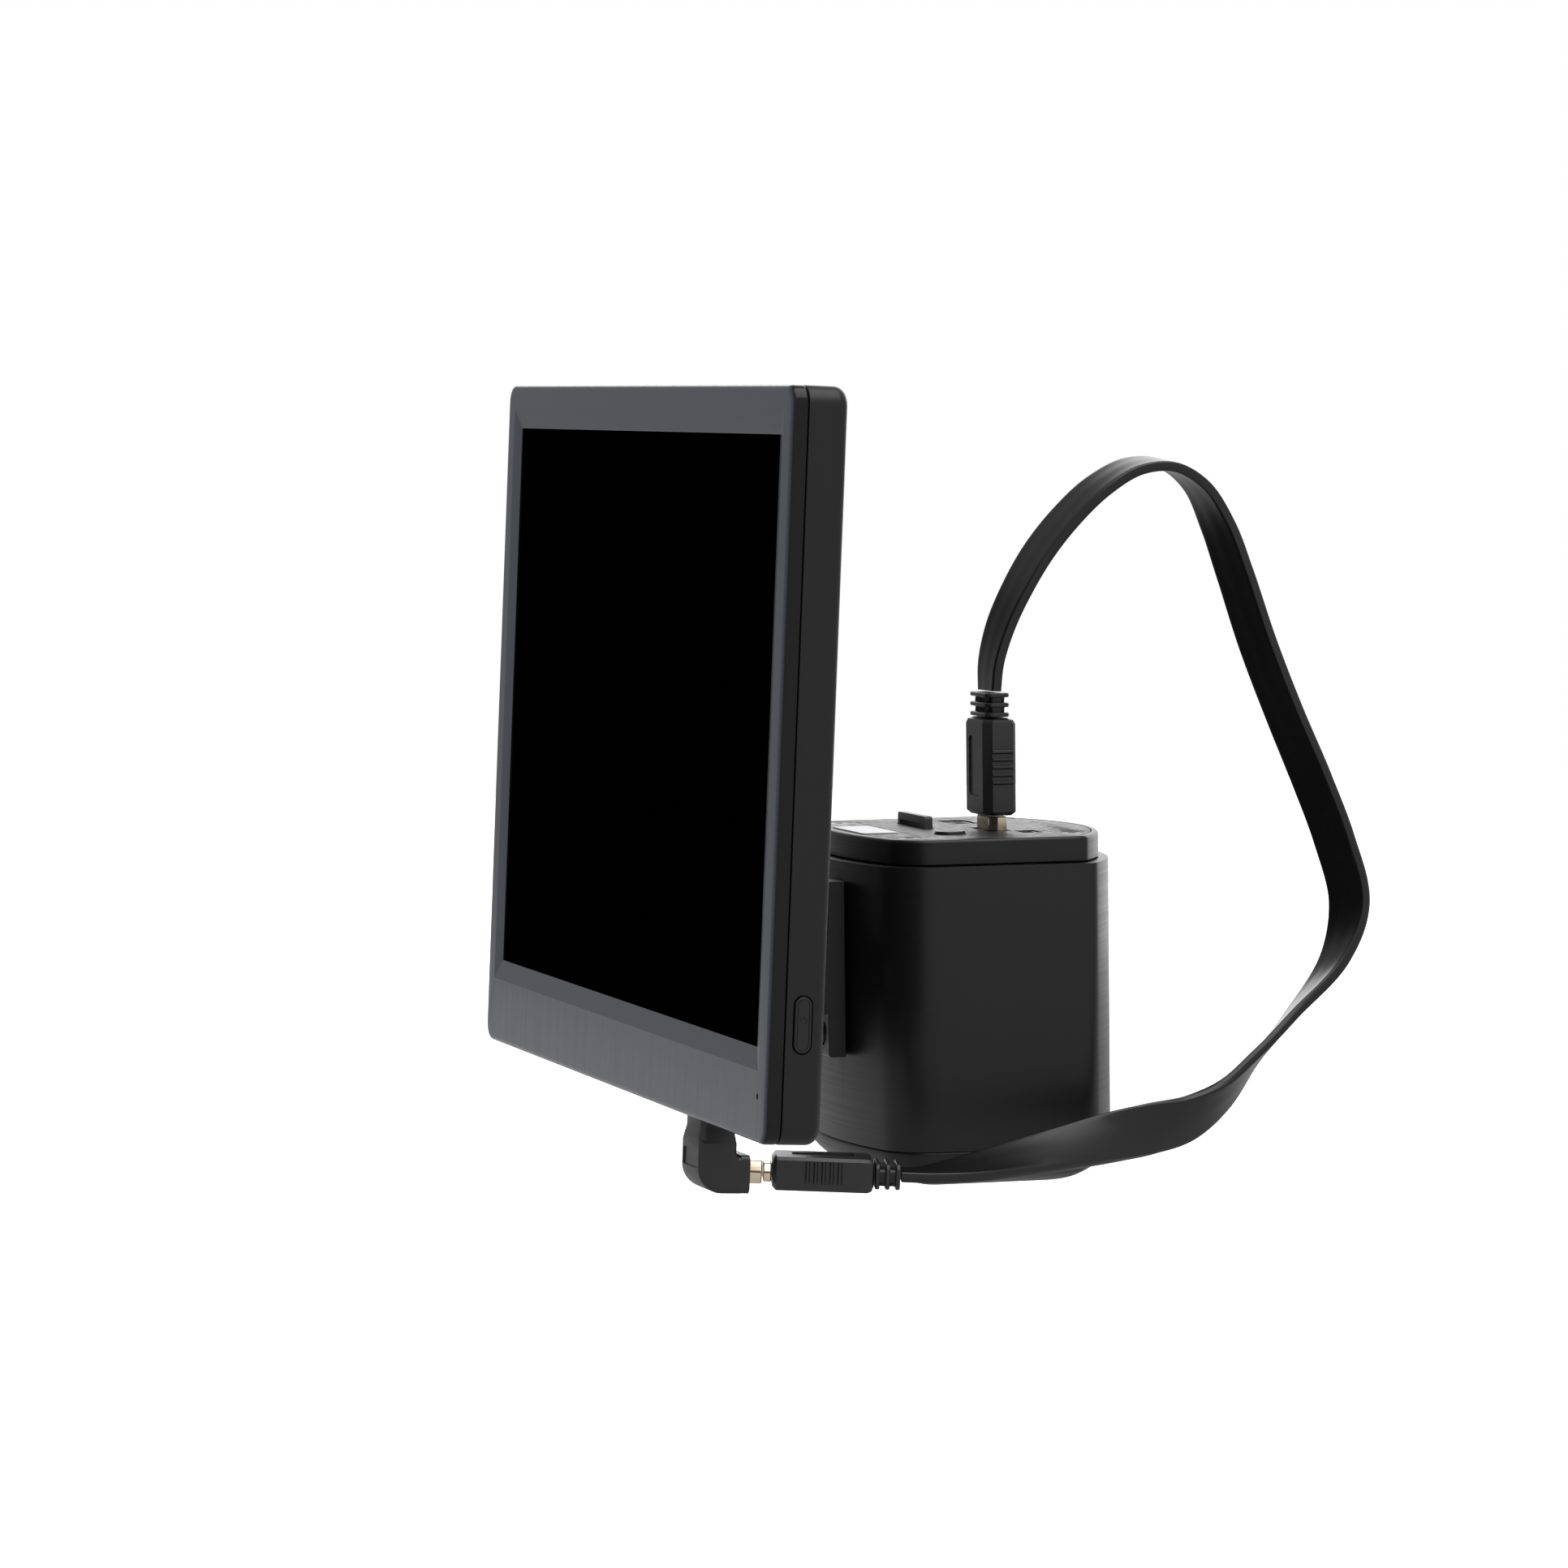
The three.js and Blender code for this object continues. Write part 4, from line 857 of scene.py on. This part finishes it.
def make_printed_marks():
    """Small pad-printed pointers beside the sockets, plain bars and rings."""
    low, high = PLATE_TOP + 0.02, PLATE_TOP + 0.07
    marks = []
    for x, y in ((-12.5, 25.4), (4.4, 24.8), (-21.5, 14.6), (20.6, 18.3)):
        for half_x, half_y, spot in ((2.1, 0.28, (x, y)), (0.28, 0.9, (x - 0.6, y - 0.5))):
            marks.append(prism("printed_marks", rounded(half_x, half_y, 0.25, 4, spot), low, high))
    ring = lathe("printed_marks", [(1.5, low), (1.5, high), (1.2, high), (1.2, low)], True, 32)
    marks.append(shifted(ring, 28.8, -8))
    body = marks.pop(0)
    combine(body, marks, "UNION")
    place(body, "mark_grey", "label_white", "camera", (), HEAD_SPACE, 0)


def make_label():
    spot = (0.2, -24.2)
    rings = []
    for inset, z in ((0.15, 88.35), (0, 88.4), (0, 88.55), (0.06, 88.6)):
        rings.append(layer(rounded(13.6 - inset, 4.8 - inset, 0.9, 6, spot), z))
    label = skin("blank_label", rings)
    field = prism("field", rounded(12.9, 4.1, 0.5, 4, spot), 88.57, 90)
    combine(label, [field])
    place(label, "label", "label_white", "camera", ["label_plate"], HEAD_SPACE, 0)


def make_card():
    """Memory card with a label field on each face and a lip to pull it by."""
    x, y = CARD_SPOT
    top, bottom, half = 91.4, 59.4, 12
    outline = [(x - half, bottom + 3.5), (x - half + 3.5, bottom), (x + half - 0.6, bottom)]
    outline += arc_points((x + half - 0.6, bottom + 0.6), 0.6, -90, 0, 4)
    outline += arc_points((x + half - 1, top - 1), 1, 0, 90, 6)
    outline += arc_points((x - half + 1, top - 1), 1, 90, 180, 6)
    card = prism("memory_card", outline, y - 1.05, y + 1.05, "y")
    tools = [
        block("field", (x - 10, x + 10), (y - 3, y - 0.8), (bottom + 8, top - 2.0)),
        block("back", (x - 10.4, x + 10.4), (y + 0.85, y + 3), (bottom + 9, top - 1.5)),
        block("notch", (x - 13, x - 11.1), (y - 3, y + 3), (top - 14, top - 11)),
    ]
    combine(card, tools)
    lip = prism("lip", rounded(3.4, 0.3, 0.28, 4, (x, y - 0.75)), top - 1.7, top - 0.15)
    combine(card, [lip], "UNION")
    place(card, "card", "black_plastic", "sd_card", ["sd_card"], HEAD_SPACE, 0.1, 2)


def make_camera_button():
    stem = [(1.5, 82.3), (1.6, 82.4), (1.6, 85)]
    flange = [(4.7, 85), (4.8, 85.1), (4.8, 86.0), (4.7, 86.1)]
    rim = [(3.9, 86.1), (3.9, 88.7), (3.84, 88.9), (3.7, 89.05), (3.5, 89.1)]
    dish = [(3.2, 89.06), (2.4, 88.9), (1.2, 88.8), (0.1, 88.78)]
    button = shifted(lathe("round_button", stem + flange + rim + dish, False, 56), *BUTTON_SPOT)
    place(button, "black", "black_plastic", "camera_button", ["camera_button"], HEAD_SPACE, 0)


# ------------------------------------------------------------------ screws

def socket_screw(name, node, head, shank, length, turn, anchor, space, ride_on):
    """Socket-head screw, modelled head down; its head's face goes to the anchor."""
    head_r, head_h = head
    profile = [(head_r - 0.25, 0), (head_r, 0.25), (head_r, head_h - 0.1), (head_r - 0.1, head_h)]
    profile.append((shank, head_h))
    z = head_h + 0.5
    while z < length - 0.6:
        profile += [(shank, z), (shank - 0.14, z + 0.2)]
        z += 0.4
    profile += [(shank, length - 0.4), (shank - 0.35, length)]
    screw = lathe(name, profile, False, 28)
    combine(screw, [prism("hex", hexagon(head_r * 0.5), -1, head_h * 0.6)])
    moved(screw, Matrix.Translation(anchor) @ turn)
    place(screw, "black_steel", "black_steel", ride_on, [node], space, 0.05, 1)


def make_screws():
    kinds = (
        ("base", (3, 2.8), 1.25, 20, HEAD_SPACE, HEAD_SPACE, "camera"),
        ("arm", (2.9, 1.8), 1.4, 8.6, ALONG_Y, HEAD_SPACE, "camera"),
        ("monitor", (3.2, 2), 1.5, 8.6, AGAINST_Y, TILT_SPACE, "monitor"),
    )
    for i in range(1, 5):
        for kind, head, shank, length, turn, space, ride_on in kinds:
            node = f"{kind}_screw_{i}"
            low, high = extent(node, space)
            spot = (low + high) / 2
            # the head's face, at the end that the screw is driven from
            if kind == "base":
                spot.z = low.z
            else:
                spot.y = low.y if kind == "arm" else high.y
            socket_screw(f"{kind}_bolt_{i}", node, head, shank, length, turn, spot, space, ride_on)
        node = f"plate_screw_{i}"
        low, high = extent(node)
        profile = [(1.0, 70), (1.25, 70.3), (1.25, 86.9), (2.86, 88.02), (2.95, 88.1), (2.9, 88.2)]
        sunk = lathe(f"plate_bolt_{i}", [*profile, (2.7, 88.24)], False, 40)
        combine(sunk, [prism("hex", hexagon(1.3), 87.2, 90)])
        shifted(sunk, (low.x + high.x) / 2, (low.y + high.y) / 2)
        place(sunk, "black_steel", "black_steel", "camera", [node], HEAD_SPACE, 0.04, 1)


# ------------------------------------------------------------------ optics

THREAD_PITCH = 0.794  # 32 threads to the inch


def make_optics():
    flange = [(17, 3.3), (20.8, 3.3), (21, 3.5), (21, 5.7), (20.8, 5.9), (17, 5.9)]
    profile = [(17, 0.2), *flange, (17, 12.8), (16.8, 13), (13.2, 13)]
    z = 12.8
    while z > 1.2:
        profile += [(13.05, z), (12.7, z - 0.4)]
        z -= THREAD_PITCH
    profile += [(13.1, 0.5), (13.4, 0), (16.8, 0)]
    ring = lathe("c_mount_thread", profile, True, 72)
    place(ring, "steel", "steel", "camera", ["c_mount_ring"], HEAD_SPACE, 0)
    profile = [(15.2, 13.3), (15.5, 13.55), (15.5, 14.15), (15.2, 14.4)]
    glass = lathe("filter_disc", profile, False, 72)
    place(glass, "filter", "filter_glass", "camera", ["ir_filter"], HEAD_SPACE, 0)


# ------------------------------------------------------------------ hinge

HINGE_Y, HINGE_Z = -57.0, 53.0
EAR_INNER = 17.6
EAR_OUTER = 22.6
BRACKET_SCREWS = [(-26, -18), (26, -18), (-26, 20), (26, 20)]


def make_arm():
    back, face = -34.5, -39.1
    low, high = 32.0, 76.8
    outline = [(back, low), (back, high)]
    outline += arc_points((face + 0.8, high - 0.8), 0.8, 90, 180, 4)
    outline += [(face, 63), (-48, 63)]
    outline += arc_points((HINGE_Y, HINGE_Z), 8, 90, 270, 28)
    outline += [(-48, 43), (face, 43)]
    outline += arc_points((face + 0.8, low + 0.8), 0.8, 180, 270, 4)
    arm = prism("tilt_arm", outline, -16, 16, "x")
    tools = [rod("bore", 3.4, -30, 30, (HINGE_Y, HINGE_Z), "x", 40)]
    for spot in ARM_SCREWS:
        tools.append(rod("hole", 1.8, -45, -30, spot, "y"))
        tools.append(rod("counterbore", 3.3, -50, face + 1.8, spot, "y"))
    combine(arm, tools)
    place(arm, "anodised", "anodised_black", "camera", ["hinge_arm"], HEAD_SPACE, 0.3, 3)


def make_bracket():
    y0, y1 = -18.4, -14.4
    bracket = prism("display_bracket", rounded(32, 25, 4, 8, (0, 1)), y0, y1, "y")
    ears = []
    for x0, x1 in ((EAR_INNER, EAR_OUTER), (-EAR_OUTER, -EAR_INNER)):
        outline = [(y1 - 0.5, -14), (y1 + 2, -14)]
        outline += arc_points((0, 0), 8, -90, 90, 24)
        outline += [(y1 + 2, 14), (y1 - 0.5, 14)]
        ears.append(prism("ear", outline, x0, x1, "x"))
    combine(bracket, ears, "UNION")
    tools = [rod("bore", 3.4, -30, 30, (0, 0), "x", 40)]
    tools += [rod("hole", 2, -25, -10, p, "y") for p in BRACKET_SCREWS]
    combine(bracket, tools)
    place(bracket, "anodised", "anodised_black", "monitor", ["monitor_bracket"], TILT_SPACE, 0.35, 3)


def make_hinge_hardware():
    axis = Matrix.Translation((0, HINGE_Y, HINGE_Z))
    profile = [(4.6, -26.6), (5, -26.5), (5.5, -26.0), (5.5, -23.1), (5.3, -22.9), (3, -22.9), (3, 22.7)]
    x = 23.0
    while x < 27.6:
        profile += [(3, x), (2.72, x + 0.35)]
        x += 0.7
    profile += [(3, 28.0), (2.5, 28.6)]
    pin = lathe("hinge_bolt", profile, False, 40, "x")
    combine(pin, [prism("hex", hexagon(2.5), -28, -24.6, "x")])
    place(moved(pin, axis), "steel", "steel", "camera", ["hinge_pin"], HEAD_SPACE, 0.06, 1)

    for side, node in ((-1, "friction_washer_left"), (1, "friction_washer_right")):
        profile = [(3.3, 16.4), (3.4, 16.3), (6.8, 16.3), (7, 16.5)]
        profile += [(r, 33.6 - x) for r, x in reversed(profile)]
        washer = lathe(f"hinge_washer_{side + 2}", [(r, side * x) for r, x in profile], True, 48, "x")
        place(moved(washer, axis), "steel", "steel", "camera", [node], HEAD_SPACE, 0)

    nut = prism("hinge_hex_nut", hexagon(5.8), 22.9, 27.4, "x")
    cone = lathe("cone", [(4.9, 22.8), (5.9, 23.4), (5.9, 26.9), (4.9, 27.5)], False, 48, "x")
    combine(nut, [cone], "INTERSECT")
    combine(nut, [rod("bore", 3.3, 20, 30, (0, 0), "x", 40)])
    place(moved(nut, axis), "steel", "steel", "camera", ["hinge_nut"], HEAD_SPACE, 0.08, 2)


# ------------------------------------------------------------------ monitor

MONITOR_HALF_X = 140.8
MONITOR_LOW, MONITOR_HIGH = -94.5, 83.8
MONITOR_MID = (MONITOR_LOW + MONITOR_HIGH) / 2
MONITOR_HALF_Z = (MONITOR_HIGH - MONITOR_LOW) / 2
SCREEN_HALF = (256.3 / 2, 144.2 / 2)
LED_SPOT = (133.4, -83.4)
POWER_SPOT = (7.3, -65.8)


def monitor_rings(steps):
    """Rings round the monitor's outline, for steps of (y, inset)."""
    rings = []
    for y, inset in steps:
        size = MONITOR_HALF_X - inset, MONITOR_HALF_Z - inset, max(5 - inset, 0.6)
        rings.append(layer(rounded(*size, 16, (0, MONITOR_MID)), y, "y"))
    return rings


def port_tool():
    """Cuts the opening for the adapter in the monitor's lower edge."""
    return prism("port", rounded(8.05, 3.35, 0.4, 3, MONITOR_PORT), -97, -90.5)


def make_rear_shell():
    steps = [(3.2, 0.25), (3.28, 0.08), (3.5, 0), (10.1, 0)]
    for i in range(1, 10):
        angle = math.radians(10 * i)
        steps.append((10.1 + 3 * math.sin(angle), 3 * (1 - math.cos(angle))))
    back = skin("rear_housing", monitor_rings(steps))
    hollow = skin("hollow", monitor_rings([(2, 2), (10.1, 2), (11.1, 3)]))
    slot = prism("slot", rounded(2.35, 6.95, 2.3, 10, POWER_SPOT), 135, 146, "x")
    tools = [hollow, port_tool(), slot]
    for x, z in BRACKET_SCREWS:
        tools.append(rod("hole", 1.9, 7, 19, (x, z - SCREEN_PLACE[2]), "y"))
    # shallow vent grooves, high up on the back
    for i in range(-9, 10):
        tools.append(prism("vent", rounded(1.1, 7, 1.0, 5, (i * 5, 55)), 12.3, 15, "y"))
    combine(back, tools)
    place(back, "rear", "rear_charcoal", "monitor", ["rear_shell"], DISPLAY_SPACE, 0.1, 2, 40)


def make_bezel():
    steps = [(2.9, 0.25), (2.82, 0.08), (2.6, 0), (0.4, 0)]
    for i in range(1, 15):
        angle = math.pi / 2 * i / 14
        steps.append((0.4 - 1.4 * math.sin(angle), 1.6 * (1 - math.cos(angle))))
    rings = monitor_rings(steps)
    w, h = SCREEN_HALF
    slope = ((5.25, -1.0), (5.05, -0.97), (4.8, -0.94), (0.15, -0.03), (0.03, 0.02), (0, 0.12), (0, 0.6))
    for grow, y in slope:
        rings.append(layer(rounded(w + grow, h + grow, 0.25, 16), y, "y"))
    rings += monitor_rings([(0.6, 2.2), (2.9, 2.2)])
    bezel = skin("slate_bezel", rings, True)
    combine(bezel, [port_tool(), rod("pinhole", 0.75, -3, 3, LED_SPOT, "y", 24)])
    place(bezel, "bezel", "bezel_slate", "monitor", ["front_bezel"], DISPLAY_SPACE, 0, 1, 7)


def make_led():
    profile = [(0.3, -0.5), (0.5, -0.45), (0.6, -0.35), (0.6, 2.3), (0.5, 2.4)]
    lens = lathe("led_window", profile, False, 24, "y")
    shifted(lens, LED_SPOT[0], 0, LED_SPOT[1])
    place(lens, "smoked", "white_plastic", "monitor", ["led_lens"], DISPLAY_SPACE, 0)


def key_outline(half_y, half_z):
    return rounded(half_y, half_z, half_y - 0.05, 10, POWER_SPOT)


def make_power_button():
    flange = [(2.55, 7.8, 137.1), (2.6, 7.85, 137.9), (2.6, 7.85, 138.1)]
    cap = [(2.05, 6.65, 138.15), (2.05, 6.65, 140.95), (1.98, 6.58, 141.15)]
    cap += [(1.8, 6.4, 141.28), (1.55, 6.15, 141.3)]
    button = skin("power_key", [layer(key_outline(y, z), x, "x") for y, z, x in flange + cap])
    # a fine line round the face, and a ring with a stroke in it
    outer = prism("outer", key_outline(1.5, 6.1), 141.0, 142, "x")
    inner = prism("inner", key_outline(1.3, 5.9), 140, 143, "x")
    combine(outer, [inner])
    y, z = POWER_SPOT
    center = (y, z + 1.2)
    sign = arc_points(center, 0.85, 130, 410, 20) + arc_points(center, 0.6, 410, 130, 20)
    glyph = prism("glyph", sign, 141.12, 142, "x")
    tick = prism("tick", rounded(0.12, 0.5, 0.1, 3, (y, z + 1.9)), 141.12, 142, "x")
    combine(button, [outer, glyph, tick])
    place(button, "button", "black_plastic", "power_button", ["power_button"], DISPLAY_SPACE, 0)


def make_panel():
    """The unlit panel: a face with a fine frame line just inside the bezel's opening."""
    rings = []
    for inset, y in ((0.4, 3.4), (0, 3.2), (0, 1.1), (0.2, 0.9)):
        rings.append(layer(rounded(131.6 - inset, 75.4 - inset, 0.8, 4), y, "y"))
    panel = skin("display_panel", rings)
    line = prism("outer", rounded(129.6, 73.6, 0.6, 4), 0.5, 1.0, "y")
    combine(line, [prism("inner", rounded(129.3, 73.3, 0.5, 4), 0, 2, "y")])
    combine(panel, [line])
    place(panel, "screen", "screen_glass", "monitor", ["lcd_panel"], DISPLAY_SPACE, 0)


# ------------------------------------------------------------------ CAD nodes that stay as they are

KEPT_NODES = {
    "nickel": ["hdmi_socket", "usb_a_socket", "mini_usb_socket", "sd_socket", "monitor_hdmi_socket"],
    "board": ["io_board", "main_board", "sensor_board", "driver_board"],
    "aluminium": ["board_chassis"],
    "light_guide": ["backlight_unit"],
    "white": ["usb_a_tongue"],
    "sensor": ["image_sensor"],
}


def dress_kept_nodes():
    for look, names in KEPT_NODES.items():
        for name in names:
            node = frame["nodes"][name]
            node.data.materials.clear()
            node.data.materials.append(LOOKS[look])
            round_edges(node, 0.12, 2, 35)


# ------------------------------------------------------------------ light and floor

def softbox(name, spot, target, size, watts):
    data = bpy.data.lights.new(name, "AREA")
    data.shape = "RECTANGLE"
    data.size, data.size_y = size
    data.energy = watts
    light = bpy.data.objects.new(name, data)
    light.location = spot
    aim = Vector(target) - Vector(spot)
    light.rotation_euler = aim.to_track_quat("-Z", "Y").to_euler()
    light.visible_camera = False
    bpy.context.scene.collection.objects.link(light)


def make_light():
    world = bpy.data.worlds.new("studio")
    world.use_nodes = True
    bpy.context.scene.world = world
    tree = world.node_tree
    # what the object reflects: dim beside the backdrop, brighter on the camera's side
    direction = add_node(tree, "TexCoord").outputs["Generated"]
    across = add_node(tree, "SeparateXYZ", Vector=direction).outputs["X"]
    level = spread(tree, across, 0.27, 0.62, -1.0, 1.0)
    seen = add_node(tree, "LightPath").outputs["Is Camera Ray"]
    strength = add_node(tree, "Mix", Factor=seen, A=level, B=1.0).outputs["Result"]
    connect(tree, tree.nodes["Background"], Color=(1, 1, 1, 1), Strength=strength)
    bpy.context.scene.view_settings.view_transform = "Standard"
    # one behind the object, as the camera sees it, and one above
    softbox("backdrop", (-1.5, 0.9, 0.4), (0, 0.5, 0.1), (2.0, 1.8), 20)
    softbox("top", (0.4, 0.1, 1.5), (0, 0, 0.1), (1.5, 1.5), 16)


def make_floor():
    data = bpy.data.meshes.new("floor")
    corners = [(-2.5, -1.5, 0), (0.6, -1.5, 0), (0.6, 1.5, 0), (-2.5, 1.5, 0)]
    data.from_pydata(corners, [], [(0, 1, 2, 3)])
    floor = bpy.data.objects.new("floor", data)
    floor.location.z = -0.06
    material, tree, bsdf = shader("floor_white", (0.5, 0.5, 0.5), 0.7, 0.0, 0.1)
    # white for the camera, dimmer in what the object reflects
    seen = add_node(tree, "LightPath").outputs["Is Camera Ray"]
    glow = spread(tree, seen, 0.05, 1.1, 0, 1)
    connect(tree, bsdf, Emission_Color=(1, 1, 1, 1), Emission_Strength=glow)
    data.materials.append(material)
    bpy.context.scene.collection.objects.link(floor)


make_camera()
make_cable()
make_adapter()
make_camera_shell()
make_base_cap()
make_top_cap()
make_port_plate()
make_printed_marks()
make_label()
make_card()
make_camera_button()
make_screws()
make_optics()
make_arm()
make_bracket()
make_hinge_hardware()
make_rear_shell()
make_bezel()
make_led()
make_power_button()
make_panel()
dress_kept_nodes()
make_light()
make_floor()
